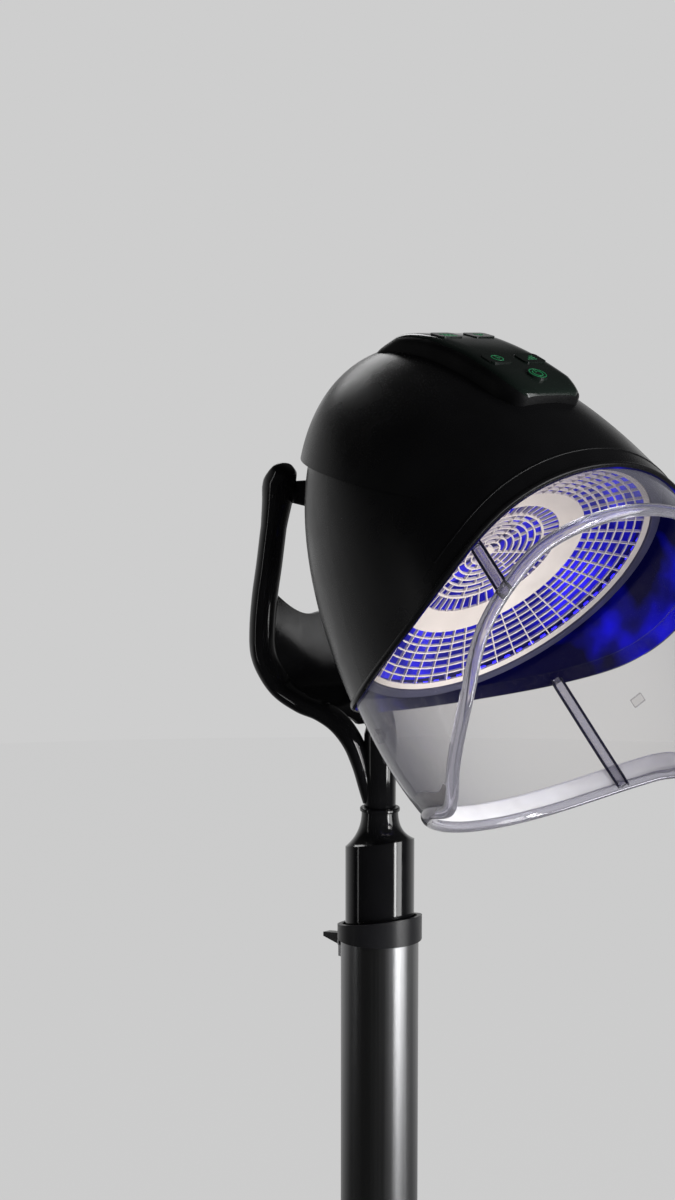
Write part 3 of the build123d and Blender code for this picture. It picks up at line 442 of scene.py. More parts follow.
def make_finishes():
    """Every finish, by the name of its material slot."""
    c = colours()
    return {
        "shell_gloss": shell_finish(),
        "console_matte": console_finish(),
        "console_gloss": gloss_plastic("console_gloss", tuple(c.console),
                                       0.10, 0.18, 0.02, 0.0, 0.25),
        "black_plastic": painted("black_plastic", (0.006, 0.006, 0.007), 0.28, 0.42),
        # the flange's grey-blue and the motor's and impeller's black get painted blue light: emission and
        # blue tint standing in for the LED's light
        "flange_grey_painted_blue": painted("flange_grey_painted_blue", (0.055, 0.055, 0.085), 0.3, 0.45, painted_glow=0.02),
        "black_painted_blue_glow": painted("black_painted_blue_glow", (0.006, 0.006, 0.012), 0.28, 0.42, painted_glow=1.0),
        "caster_plastic": painted("caster_plastic", (0.012, 0.012, 0.013), 0.35, 0.5),
        "caster_tyre": painted("caster_tyre", (0.030, 0.030, 0.032), 0.55, 0.7),
        "leg_aluminium": metal("leg_aluminium", (0.030, 0.030, 0.033), 0.24, 0.36, coat=0.3),
        "column_metal": column_finish(),
        "steel": metal("steel", (0.55, 0.55, 0.56), 0.20, 0.34),
        "lever_metal": painted("lever_metal", (0.012, 0.012, 0.013), 0.22, 0.34),
        "gas_paint": painted("gas_paint", (0.02, 0.02, 0.022), 0.3, 0.4),
        "sleeve_gloss": gloss_plastic("sleeve_gloss", (0.0028, 0.0028, 0.0032),
                                      0.07, 0.14, 0.02, 0.15, 0.35),
        "web_satin": gloss_plastic("web_satin", (0.0035, 0.0035, 0.0040), 0.14, 0.24, 0.05, 0.1, 0.3),
        # the dark strips beside the visor's ribs: painted shade for the dark edges of the clear ribs
        "rib_painted_shade": gloss_plastic("rib_painted_shade", (0.010, 0.010, 0.022), 0.08, 0.16, 0.02, 0.0, 0.4),
        "milky_lip": visor_finish("milky_lip", 0.40, (0.80, 0.78, 0.78)),
        "bronze": metal("bronze", (0.42, 0.26, 0.12), 0.3, 0.45),
        "clear_visor": visor_finish(),
        "liner_aluminium": liner_finish(),
        "cream_plastic": cream_finish(),
        "led_strip": light_finish(),
        # heater frame: painted blue light, a blue-tinted colour and emission standing in for the LED's
        # light behind the grille
        "mica": painted("mica", (0.10, 0.09, 0.30), 0.3, 0.5, painted_glow=1.3),
        "heater_wire": metal("heater_wire", (0.40, 0.38, 0.42), 0.3, 0.45),
        "board_green": painted("board_green", (0.01, 0.08, 0.03), 0.3, 0.45),
        "clear_rim": solid_clear_finish(),
        "icon_green": lit_icon_finish(),
    }


FINISHES = {}


def finish_of(slot):
    if not FINISHES:
        FINISHES.update(make_finishes())
    return FINISHES[slot]


# ---------------------------------------------------------------- shaping helpers
def is_vert(item):
    return isinstance(item, bmesh.types.BMVert)


def is_edge(item):
    return isinstance(item, bmesh.types.BMEdge)


def section_ring(bm, width, depth, squareness, segments):
    """Closed outline, from round at 2 towards a rounded rectangle above it."""
    verts = bmesh.ops.create_circle(bm, segments=segments, radius=1.0)["verts"]
    for vert in verts:
        for axis, size in enumerate((width, depth)):
            value = vert.co[axis]
            vert.co[axis] = math.copysign(abs(value) ** (2 / squareness), value) * size / 2
    return verts


def swept(bm, stations, width, depth, squareness, segments, closed=False):
    """Extrude an outline from station to station; each station is a matrix with its own scale."""
    verts = section_ring(bm, width, depth, squareness, segments)
    edges = [e for e in bm.edges if all(v in verts for v in e.verts)]
    first = list(edges)
    bmesh.ops.transform(bm, matrix=stations[0], verts=verts)
    for before, after in zip(stations, stations[1:]):
        made = bmesh.ops.extrude_edge_only(bm, edges=edges)["geom"]
        verts = {item for item in made if is_vert(item)}
        edges = [item for item in made if is_edge(item) and all(v in verts for v in item.verts)]
        bmesh.ops.transform(bm, matrix=after @ before.inverted(), verts=list(verts))
    if closed:
        bmesh.ops.bridge_loops(bm, edges=edges + first)
    else:
        bmesh.ops.holes_fill(bm, edges=edges + first)


def smooth_run(points, steps=6):
    """Points along a smooth line through the given ones."""
    line = []
    last = len(points) - 1
    for i in range(last):
        p0, p1, p2, p3 = (points[min(max(j, 0), last)] for j in (i - 1, i, i + 1, i + 2))
        for step in range(steps):
            t = step / steps
            line.append(0.5 * (2 * p1 + (p2 - p0) * t + (2 * p0 - 5 * p1 + 4 * p2 - p3) * t ** 2
                               + (3 * p1 - p0 - 3 * p2 + p3) * t ** 3))
    return line + [points[-1]]


def stations_along(points, across=None, normals=None, scales=None, closed=False):
    """Station matrices along points; local X lies near `across`, or local Y near each normal."""
    made = []
    count = len(points)
    for i, point in enumerate(points):
        behind = points[(i - 1) % count] if closed or i else point
        ahead = points[(i + 1) % count] if closed or i < count - 1 else point
        along = (ahead - behind).normalized()
        if normals:
            side = along.cross(normals[i]).normalized()
        else:
            side = (across - along * across.dot(along)).normalized()
        up = along.cross(side) if not normals else side.cross(along) * -1
        size = scales[i] if scales else 1.0
        turn = Matrix((side, up, along)).transposed().to_4x4()
        made.append(Matrix.Translation(point) @ turn @ Matrix.Scale(size, 4))
    return made


def swept_on_wall(bm, turns, heights, inset, outline, closed=False, scales=None):
    """Sweep an outline of width, depth, squareness and segments along spots of the dome's wall."""
    points = [hood_place(turn, height, inset) for turn, height in zip(turns, heights)]
    normals = [hood_normal(turn, height) for turn, height in zip(turns, heights)]
    stations = stations_along(points, normals=normals, scales=scales, closed=closed)
    swept(bm, stations, *outline, closed)


def turned(bm, profile, matrix=Matrix.Identity(4), steps=48, closed=False):
    """Spin a (radius, height) profile a full turn about the matrix's Z axis."""
    verts = [bm.verts.new((radius, 0, height)) for radius, height in profile]
    pairs = list(zip(verts, verts[1:])) + ([(verts[-1], verts[0])] if closed else [])
    edges = [bm.edges.new(pair) for pair in pairs]
    before = set(bm.verts) - set(verts)
    bmesh.ops.spin(bm, geom=verts + edges, axis=(0, 0, 1), cent=(0, 0, 0), angle=2 * math.pi,
                   steps=steps, use_merge=True)
    fresh = [v for v in bm.verts if v not in before]
    bmesh.ops.remove_doubles(bm, verts=fresh, dist=1e-6)
    fresh = [v for v in bm.verts if v not in before]
    bmesh.ops.transform(bm, matrix=matrix, verts=fresh)


def block(bm, size, matrix, bevel=0.0):
    """Box with softened edges."""
    verts = bmesh.ops.create_cube(bm, size=1.0)["verts"]
    bmesh.ops.scale(bm, vec=size, verts=verts)
    edges = list({e for v in verts for e in v.link_edges})
    if bevel:
        made = bmesh.ops.bevel(bm, geom=edges, offset=bevel, offset_type="OFFSET", segments=2,
                               profile=0.5, affect="EDGES", material=-1)
        verts = list({v for face in made["faces"] for v in face.verts}
                     | {v for v in verts if v.is_valid})
    bmesh.ops.transform(bm, matrix=matrix, verts=verts)


def piece(name, bm, slot, body, nodes=(), finish=None, crease=40):
    """Finished piece of the dryer that rides on a body and may stand for CAD nodes."""
    bmesh.ops.remove_doubles(bm, verts=bm.verts, dist=1e-6)
    bmesh.ops.recalc_face_normals(bm, faces=bm.faces)
    mesh = bpy.data.meshes.new(name)
    bm.to_mesh(mesh)
    bm.free()
    mesh.polygons.foreach_set("use_smooth", [True] * len(mesh.polygons))
    mesh.set_sharp_from_angle(angle=math.radians(crease))
    mesh.materials.append(finish_of(finish or slot))
    made = bpy.data.objects.new(name, mesh)
    bpy.context.scene.collection.objects.link(made)
    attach(made, body)
    if nodes:
        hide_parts(*nodes)
    return made


class DryerOperator:
    """What the operators share."""
    bl_options = {"REGISTER", "UNDO"}

    def execute(self, context):
        self.build()
        return {"FINISHED"}


# ---------------------------------------------------------------- stage
class HOOD_OT_stage(DryerOperator, bpy.types.Operator):
    """Plain floor and backdrop, soft studio lamps and the camera"""
    bl_idname = "hood.stage"
    bl_label = "Stage"

    LAMPS = (
        # name, place, aim, width, height, watts
        ("front_strip", (0.62, -2.50, 1.25), (0, 0, 1.05), 0.34, 2.5, 54),
        ("side_panel", (1.22, -2.20, 1.25), (0, 0, 1.05), 0.8, 2.4, 42),
        ("left_strip", (-2.3, 1.1, 1.3), (0, 0, 1.0), 0.12, 2.2, 2.5),
        ("back_top", (0.9, 2.2, 2.7), (0, -0.1, 1.3), 1.4, 0.8, 12),
        ("low_fill", (-0.55, -1.60, 0.35), (0, -0.15, 1.30), 0.8, 0.8, 13),
    )
    NO_REFLECTION = "low_fill"
    CAMERA_PLACE = (-1.2501, -1.5384, 1.4327)
    CAMERA_TURN = (83.3, 0, -38)        # degrees
    LENS, SENSOR = 67.68, 36.0          # millimetres
    BACKDROP_WAY = (0.61, 0.79, 0.0)    # level direction in which the backdrop lies
    DARK_STUDIO = 0.03                  # strength of the room in gloss, away from the backdrop
    ROOM_LIGHT = 0.42                   # strength with which the room lights the object
    FLOOR_PLAIN = 0.965                 # share of the floor that keeps no shadow
    FLOOR_THROUGH = 0.86                # the same, seen through clear pieces

    def build(self):
        scene = bpy.context.scene
        scene.view_settings.view_transform = "Standard"
        pale = tuple(colours().backdrop)
        scene.world = self.studio(pale)
        self.floor(scene, pale)
        for name, place, aim, width, height, watts in self.LAMPS:
            lamp = bpy.data.lights.new(name, "AREA")
            lamp.shape, lamp.size, lamp.size_y, lamp.energy = "RECTANGLE", width, height, watts
            holder = bpy.data.objects.new(name, lamp)
            holder.location = place
            holder.rotation_euler = (Vector(aim) - Vector(place)).to_track_quat("-Z", "Y").to_euler()
            holder.visible_camera = False
            holder.visible_glossy = name != self.NO_REFLECTION
            scene.collection.objects.link(holder)

        camera = bpy.data.cameras.new("camera")
        camera.lens, camera.sensor_width = self.LENS, self.SENSOR
        camera.clip_end = 100.0
        holder = bpy.data.objects.new("camera", camera)
        holder.location = self.CAMERA_PLACE
        holder.rotation_euler = [math.radians(turn) for turn in self.CAMERA_TURN]
        scene.collection.objects.link(holder)
        scene.camera = holder

    def floor(self, scene, pale):
        bm = bmesh.new()
        bmesh.ops.create_circle(bm, cap_ends=True, segments=96, radius=sizes().floor_radius)
        mesh = bpy.data.meshes.new("floor")
        bm.to_mesh(mesh)
        bm.free()
        floor = bpy.data.objects.new("floor", mesh)
        scene.collection.objects.link(floor)
        mesh.materials.append(self.floor_finish(pale))

    def studio(self, pale):
        """Pale backdrop all round for the camera; gloss and glass see it only behind the object."""
        f = Finish("studio", bpy.data.worlds.new("studio"))
        direction = f.node("ShaderNodeTexCoord", out="Generated")
        way, height = f.dot(direction, self.BACKDROP_WAY), f.dot(direction, (0, 0, 1))
        behind = (f.range(way, self.DARK_STUDIO, 1.0, -0.15, 0.65)
                  * f.range(height, 1.0, 0.06, 0.10, 0.45))
        camera = f.ray("Camera")
        mirrored = f.node("ShaderNodeMath", {"operation": "MAXIMUM"},
                          {0: f.ray("Glossy"), 1: f.ray("Transmission")})
        level = camera + mirrored * behind + (1 - camera - mirrored) * self.ROOM_LIGHT
        shown = f.node("ShaderNodeBackground", {}, {"Color": (*pale, 1), "Strength": level})
        f.node("ShaderNodeOutputWorld", {}, {"Surface": shown})
        return f.material

    def floor_finish(self, pale):
        """Pale floor that keeps a soft part of the object's shadow."""
        f = Finish("floor_pale")
        behind = f.range(f.dot(f.place(), self.BACKDROP_WAY), self.DARK_STUDIO, 1.0, 0.2, 2.4)
        glossy = f.ray("Glossy")
        plain = f.node("ShaderNodeEmission", {}, {"Color": (*pale, 1),
                                                  "Strength": 1 - glossy + glossy * behind})
        matt = f.node("ShaderNodeBsdfDiffuse", {}, {"Color": (*pale, 1)})
        share = (f.ray("Camera") * self.FLOOR_PLAIN + glossy
                 + f.ray("Transmission") * self.FLOOR_THROUGH)
        return f.done(f.node("ShaderNodeMixShader", {}, {0: share, 1: matt, 2: plain}))


# ---------------------------------------------------------------- CAD pieces that only need their finish
class HOOD_OT_carried(DryerOperator, bpy.types.Operator):
    """Finishes of the pieces whose CAD shape stays"""
    bl_idname = "hood.carried"
    bl_label = "CAD pieces"

    FINISH_OF = {
        "base_hub": "leg_aluminium", "lower_column": "column_metal", "column_collar": "black_plastic",
        "guide_bush": "black_plastic", "lever_block": "steel", "lever_pin": "steel",
        "height_lever": "lever_metal", "lever_springs": "steel", "cable_gland": "black_plastic",
        "gas_cylinder": "gas_paint", "gas_rod": "steel", "upper_sleeve": "sleeve_gloss",
        "neck_ring": "sleeve_gloss", "swivel_spigot": "steel", "bow_arm": "sleeve_gloss",
        "bow_web": "web_satin", "hinge_pin": "sleeve_gloss", "hinge_spacers": "black_plastic",
        "hinge_bracket": "black_plastic", "hinge_bushes": "bronze", "top_shell": "shell_gloss",
        "intake_grille": "black_plastic", "visor": "clear_visor", "visor_rim": "clear_visor",
        "visor_clips": "clear_visor", "air_liner": "liner_aluminium", "liner_flange": "flange_grey_painted_blue",
        "grille_ring": "flange_grey_painted_blue", "diffuser_grille": "cream_plastic", "led_ring": "led_strip",
        "heater_frame": "mica", "heater_coils": "heater_wire", "motor_bracket": "liner_aluminium",
        "motor": "black_painted_blue_glow", "motor_shaft": "steel", "impeller": "black_painted_blue_glow", "ion_unit": "black_plastic",
        "panel_housing": "console_matte", "panel_cover": "console_gloss", "control_board": "board_green",
    }
    FINISH_OF_NUMBERED = {
        "base_leg": "leg_aluminium", "caster_fork": "caster_plastic", "caster_wheels": "caster_tyre",
    }
    FINISH_OF_KEYS = "console_gloss"

    def build(self):
        for name, node in NODES.items():
            family = name.rstrip("0123456789").rstrip("_")
            slot = (self.FINISH_OF.get(name)
                    or self.FINISH_OF_NUMBERED.get(family, self.FINISH_OF_KEYS))
            if node.material_slots:
                for holder in node.material_slots:
                    holder.material = finish_of(slot)
            else:
                node.data.materials.append(finish_of(slot))


# ---------------------------------------------------------------- grille and its light
class HOOD_OT_grille(DryerOperator, bpy.types.Operator):
    """Moulded grille above the head, with rows of slots round a ring of short ones and broken arcs"""
    bl_idname = "hood.grille"
    bl_label = "Grille"

    SHEET = 0.0024
    RIB = 0.00072               # half the width of a rib between two slots
    # radii in millimetres
    ARCS = [7 + 6.4 * i for i in range(8)]
    HUB, ARC_BORDER, EDGE = 5.0, 0.8, 139.0
    SHORT_RING = (67.0, 77.0)
    ROWS = (87, 135.2)
    BAND_SLACK = 0.1
    PAIR = 2                    # columns that make one slot of the rows
    ARC_LENGTHS = (11, 24)      # millimetres
    SHORTEST_LAST_ARC = 6       # columns
    LIGHT = ((0.1402, 0.0905), (0.1442, 0.0905), (0.1442, 0.0925), (0.1402, 0.0925))
    CHIP, CHIP_RADIUS, CHIP_HEIGHT, CHIP_BEVEL = (0.0035, 0.005, 0.0016), 0.1395, 0.0925, 0.0004

    def build(self):
        columns, rows = 2 * sizes().grille_columns, sizes().grille_rows
        inner, outer = self.ROWS
        starts = [inner + (outer - inner) * i / rows for i in range(rows + 1)]
        radii = [0.0, self.HUB, *self.ARCS, self.ARCS[-1] + self.ARC_BORDER, *self.SHORT_RING, *starts,
                 self.EDGE]
        sphere = (GRILLE_RADIUS ** 2 + GRILLE_CROWN ** 2) / (2 * GRILLE_CROWN)
        profile = [(r * MM, GRILLE_HEIGHT + GRILLE_CROWN - sphere
                    + math.sqrt(sphere ** 2 - (r * MM) ** 2)) for r in radii]
        bm = bmesh.new()
        turned(bm, profile, steps=columns)
        slots = []
        for group in self.groups(self.bands(bm, radii, columns), radii, starts, columns):
            slots += bmesh.ops.dissolve_faces(bm, faces=group)["region"] if len(group) > 1 else group
        bmesh.ops.inset_individual(bm, faces=slots, thickness=self.RIB, depth=0.0, use_even_offset=False)
        bmesh.ops.delete(bm, geom=slots, context="FACES")
        bmesh.ops.remove_doubles(bm, verts=bm.verts, dist=1e-5)
        bmesh.ops.recalc_face_normals(bm, faces=bm.faces)
        bmesh.ops.solidify(bm, geom=bm.faces, thickness=self.SHEET)
        bmesh.ops.transform(bm, matrix=HOOD, verts=bm.verts)
        piece("grille", bm, "cream_plastic", "hood", ["diffuser_grille"])
        self.light_strip()

    def bands(self, bm, radii, columns):
        """The dome's faces, by their band between two radii and by column."""
        bands = {}
        for face in bm.faces:
            middle = face.calc_center_median()
            radius = math.hypot(middle.x, middle.y) / MM
            band = max(i for i, r in enumerate(radii) if r <= radius + self.BAND_SLACK or i == 0)
            column = int(math.degrees(math.atan2(middle.y, middle.x)) % 360 / (360 / columns))
            bands.setdefault(band, {})[column] = face
        return bands

    def groups(self, bands, radii, starts, columns):
        """Faces that make one slot each: pairs in the rows, uneven runs in the arcs."""
        groups = []
        chance = random.Random(7)
        for band, faces in sorted(bands.items()):
            low, high = radii[band], radii[band + 1]
            arc = low in self.ARCS[:-1]
            if not arc and low not in starts[:-1] and high != self.SHORT_RING[0]:
                continue
            column = 0
            while column < columns:
                wide = 2 * math.pi * high / columns
                length = max(1, round(chance.uniform(*self.ARC_LENGTHS) / wide)) if arc else self.PAIR
                if arc and columns - column - length < self.SHORTEST_LAST_ARC:
                    length = columns - column
                groups.append([faces[c] for c in range(column, column + length) if c in faces])
                column += length
        return groups

    def light_strip(self):
        bm = bmesh.new()
        turned(bm, self.LIGHT, closed=True, steps=96)
        for i in range(sizes().lamp_count):
            turn = 2 * math.pi * i / sizes().lamp_count
            place = (Matrix.Rotation(turn, 4, "Z")
                     @ Matrix.Translation((self.CHIP_RADIUS, 0, self.CHIP_HEIGHT)))
            block(bm, self.CHIP, place, self.CHIP_BEVEL)
        bmesh.ops.transform(bm, matrix=HOOD, verts=bm.verts)
        piece("light_strip", bm, "led_strip", "hood", ["led_ring"])


# ---------------------------------------------------------------- visor
class HOOD_OT_visor(DryerOperator, bpy.types.Operator):
    """Rounded rim, milky lip and moulded ribs of the clear visor"""
    bl_idname = "hood.visor"
    bl_label = "Visor"

    EDGE_INSET = 0.0045
    RIM_POINTS = 176
    RIM_RISE, RIM_INSET, RIM_DEPTH = 0.0045, 0.0048, 0.0092
    LIP_STEPS, LIP_START, LIP_SWEEP = 90, 104, 152      # turns in degrees, round the back
    LIP_RISE, LIP_INSET, LIP_OUTLINE = 0.0145, 0.0082, (0.019, 0.003, 3.5, 16)
    LIP_END, LIP_WIDENING = 0.4, 8                      # scale at its ends, steps to its full width
    RIB_SPOTS = (100, -108)                             # forward places of the ribs, millimetres
    RIB_STEPS, RIB_INSET, RIB_WALL_INSET = 14, 0.0085, 0.007
    RIB_SPREAD, RIB_DEPTH = 1.9, 0.0055
    LINE_OFFSET, LINE_WIDTH, LINE_DEPTH = 0.0042, 0.0026, 0.0060    # dark strips beside a rib, painted shade for the dark edges that the clear rib shows
    WALL_FORWARD, WALL_TURN = 0.155, 0.150              # wall's radius where the ribs stand

    def build(self):
        bm = bmesh.new()
        turns = [2 * math.pi * i / self.RIM_POINTS for i in range(self.RIM_POINTS)]
        heights = [edge_height(MOUTH_EDGE, turn, self.EDGE_INSET) + self.RIM_RISE for turn in turns]
        swept_on_wall(bm, turns, heights, self.RIM_INSET, (sizes().rim_width, self.RIM_DEPTH, 2.0, 16),
                      closed=True)
        piece("visor_edge", bm, "clear_visor", "hood", ["visor_rim"], finish="clear_rim", crease=80)

        lip, last = bmesh.new(), self.LIP_STEPS
        turns = [math.radians(self.LIP_START + self.LIP_SWEEP * i / last) for i in range(last + 1)]
        heights = [edge_height(MOUTH_EDGE, turn, self.EDGE_INSET) + self.LIP_RISE for turn in turns]
        scales = [self.LIP_END + (1 - self.LIP_END) * min(1, min(i, last - i) / self.LIP_WIDENING)
                  for i in range(last + 1)]
        swept_on_wall(lip, turns, heights, self.LIP_INSET, self.LIP_OUTLINE, scales=scales)
        piece("visor_lip", lip, "clear_visor", "hood", finish="milky_lip", crease=80)

        ribs, edges = bmesh.new(), bmesh.new()
        for forward in self.RIB_SPOTS:
            for side in (-1, 1):
                self.rib(ribs, forward, side, 0.0, sizes().rib_width * self.RIB_SPREAD, self.RIB_DEPTH)
                for offset in (-self.LINE_OFFSET, self.LINE_OFFSET):
                    self.rib(edges, forward, side, offset, self.LINE_WIDTH, self.LINE_DEPTH)
        piece("visor_ribs", ribs, "clear_visor", "hood", finish="clear_rim", crease=80)
        # two dark strips beside each rib: painted shade standing in for the dark edges of the clear rib
        piece("rib_painted_shade_lines", edges, "clear_visor", "hood", finish="rib_painted_shade", crease=80)

    def rib(self, bm, forward, side, offset, width, depth):
        """One rounded rib down the inside of the visor."""
        turn = side * math.acos(forward * MM / self.WALL_FORWARD) + offset / self.WALL_TURN
        top = edge_height(SHELL_EDGE, turn, self.RIB_WALL_INSET) + 0.004
        bottom = edge_height(MOUTH_EDGE, turn, self.RIB_WALL_INSET) + 0.003
        steps = self.RIB_STEPS
        heights = [top + (bottom - top) * i / steps for i in range(steps + 1)]
        scales = [0.75] + [1.0] * (steps - 1) + [0.8]
        swept_on_wall(bm, [turn] * len(heights), heights, self.RIB_INSET, (width, depth, 2.4, 14),
                      scales=scales)


# ---------------------------------------------------------------- arm
class HOOD_OT_arm(DryerOperator, bpy.types.Operator):
    """Two rounded rails that carry the hood, joined in a tube on the column's neck"""
    bl_idname = "hood.arm"
    bl_label = "Arm"

    # middle of the rail from its head down, millimetres
    RAIL = ((55, 64, 1316), (55, 75, 1302), (55, 79, 1284), (55, 84, 1262), (55, 91, 1228),
            (55, 98, 1198), (55, 102, 1169), (54, 102, 1146), (49.5, 95.5, 1128), (43.5, 84, 1113.5),
            (37, 63, 1103.5), (31, 44.5, 1098), (25, 27, 1088), (19, 15, 1072), (14, 8.6, 1052),
            (9.5, 6, 1032), (7.0, 4, 1019))
    TUBE = ((0.0091, 1.0103), (0.0138, 1.0103), (0.0143, 1.0112), (0.0143, 1.080), (0.0125, 1.087),
            (0.0091, 1.090))
    # scale of the rail's outline: its end, what the head adds and the stations that takes,
    # what it loses again from a station on, and how it narrows past a share of its length
    END, HEAD, HEAD_STATIONS = 0.62, 0.63, 6
    SETTLE, SETTLE_FROM, SETTLE_STATIONS = 0.25, 8, 10
    NARROWING, NARROW_FROM = 0.95, 0.62

    def scale(self, i, count):
        return (self.END + self.HEAD * math.sqrt(min(1, i / self.HEAD_STATIONS))
                - self.SETTLE * min(1, max(0, i - self.SETTLE_FROM) / self.SETTLE_STATIONS)
                - self.NARROWING * max(0, i / count - self.NARROW_FROM))

    def build(self):
        bm = bmesh.new()
        for side in (-1, 1):
            line = smooth_run([Vector((side * x, y, z)) * MM for x, y, z in self.RAIL])
            count = len(line) - 1
            scales = [self.scale(i, count) for i in range(count + 1)]
            swept(bm, stations_along(line, across=ACROSS, scales=scales), sizes().rail_width,
                  sizes().rail_depth, 3.0, 20)
        turned(bm, self.TUBE, closed=True, steps=48)
        piece("arm_rails", bm, "sleeve_gloss", "arm", ["bow_arm"], crease=50)


# ---------------------------------------------------------------- shell lines
class HOOD_OT_shell_lines(DryerOperator, bpy.types.Operator):
    """Moulded lines along the shell's lower edge"""
    bl_idname = "hood.shell_lines"
    bl_label = "Shell lines"

    EDGE_POINTS, EDGE_RISE, EDGE_OUTLINE = 200, 0.0022, (0.0042, 0.0022, 2.0, 10)
    BROW_STEPS, BROW_REACH = 70, 62             # reach to each side of the forehead, degrees
    BROW_RISE, BROW_ARCH, BROW_OUTLINE = 0.0145, 0.006, (0.0016, 0.0012, 2.0, 10)

    def build(self):
        bm = bmesh.new()
        turns = [2 * math.pi * i / self.EDGE_POINTS for i in range(self.EDGE_POINTS)]
        heights = [edge_height(SHELL_EDGE, turn) + self.EDGE_RISE for turn in turns]
        swept_on_wall(bm, turns, heights, 0.0, self.EDGE_OUTLINE, closed=True)
        reach, last = self.BROW_REACH, self.BROW_STEPS
        turns = [math.radians(-reach + 2 * reach * i / last) for i in range(last + 1)]
        heights = [edge_height(SHELL_EDGE, turn) + self.BROW_RISE + self.BROW_ARCH * math.cos(turn)
                   for turn in turns]
        swept_on_wall(bm, turns, heights, 0.0, self.BROW_OUTLINE)
        piece("shell_beads", bm, "shell_gloss", "hood", crease=80)


# ---------------------------------------------------------------- console
class HOOD_OT_console(DryerOperator, bpy.types.Operator):
    """Rounded matt wall of the console and the gloss cover let into its top"""
    bl_idname = "hood.console"
    bl_label = "Console"

    LIFT = 0.0123
    FRONT_ANGLES = (27.5, 33, 40, 47, 53)      # round the dome's profile, degrees
    # (back, height) of the top line behind them, millimetres
    REAR_LINE = ((-72, 1434.0), (-54, 1428.2), (-36, 1419.4), (-18, 1407.8), (0, 1393.5))
    # width, depth, rise over the top line, squareness, scale of the nose
    WALL = (0.080, 0.036, 0.0, 5.0, 0.72)
    COVER = (0.0745, 0.034, 0.0003, 8.0, 0.70)
    NOSE_STATIONS = 5
    TAIL_LOSS, TAIL_FROM = 0.15, 0.75           # scale lost past a share of the length

    def centre_line(self, depth):
        """Middle of a body whose top lies on the console's top line."""
        tops = []
        for angle in self.FRONT_ANGLES:
            turn = math.radians(angle)
            tops.append(CENTRE + FORWARD * (DOME_RADIUS + self.LIFT) * math.cos(turn)
                        + CROWN * (DOME_HEIGHT + self.LIFT) * math.sin(turn))
        tops += [Vector((0, y, z)) * MM for y, z in self.REAR_LINE]
        tops = smooth_run(tops)
        line = []
        for i, top in enumerate(tops):
            along = (tops[min(i + 1, len(tops) - 1)] - tops[max(i - 1, 0)]).normalized()
            line.append(top - ACROSS.cross(along) * depth / 2)
        return line

    def body(self, width, depth, raised, squareness, nose):
        bm = bmesh.new()
        line = self.centre_line(depth - 2 * raised)
        last = len(line) - 1
        scales = [nose + (1 - nose) * math.sqrt(min(1, i / self.NOSE_STATIONS))
                  - self.TAIL_LOSS * max(0, i / last - self.TAIL_FROM) / (1 - self.TAIL_FROM)
                  for i in range(last + 1)]
        swept(bm, stations_along(line, across=ACROSS, scales=scales), width, depth, squareness, 48)
        return bm

    def build(self):
        piece("console_body", self.body(*self.WALL), "console_matte", "hood", ["panel_housing"],
              crease=60)
        piece("console_top", self.body(*self.COVER), "console_gloss", "hood", ["panel_cover"],
              crease=60)


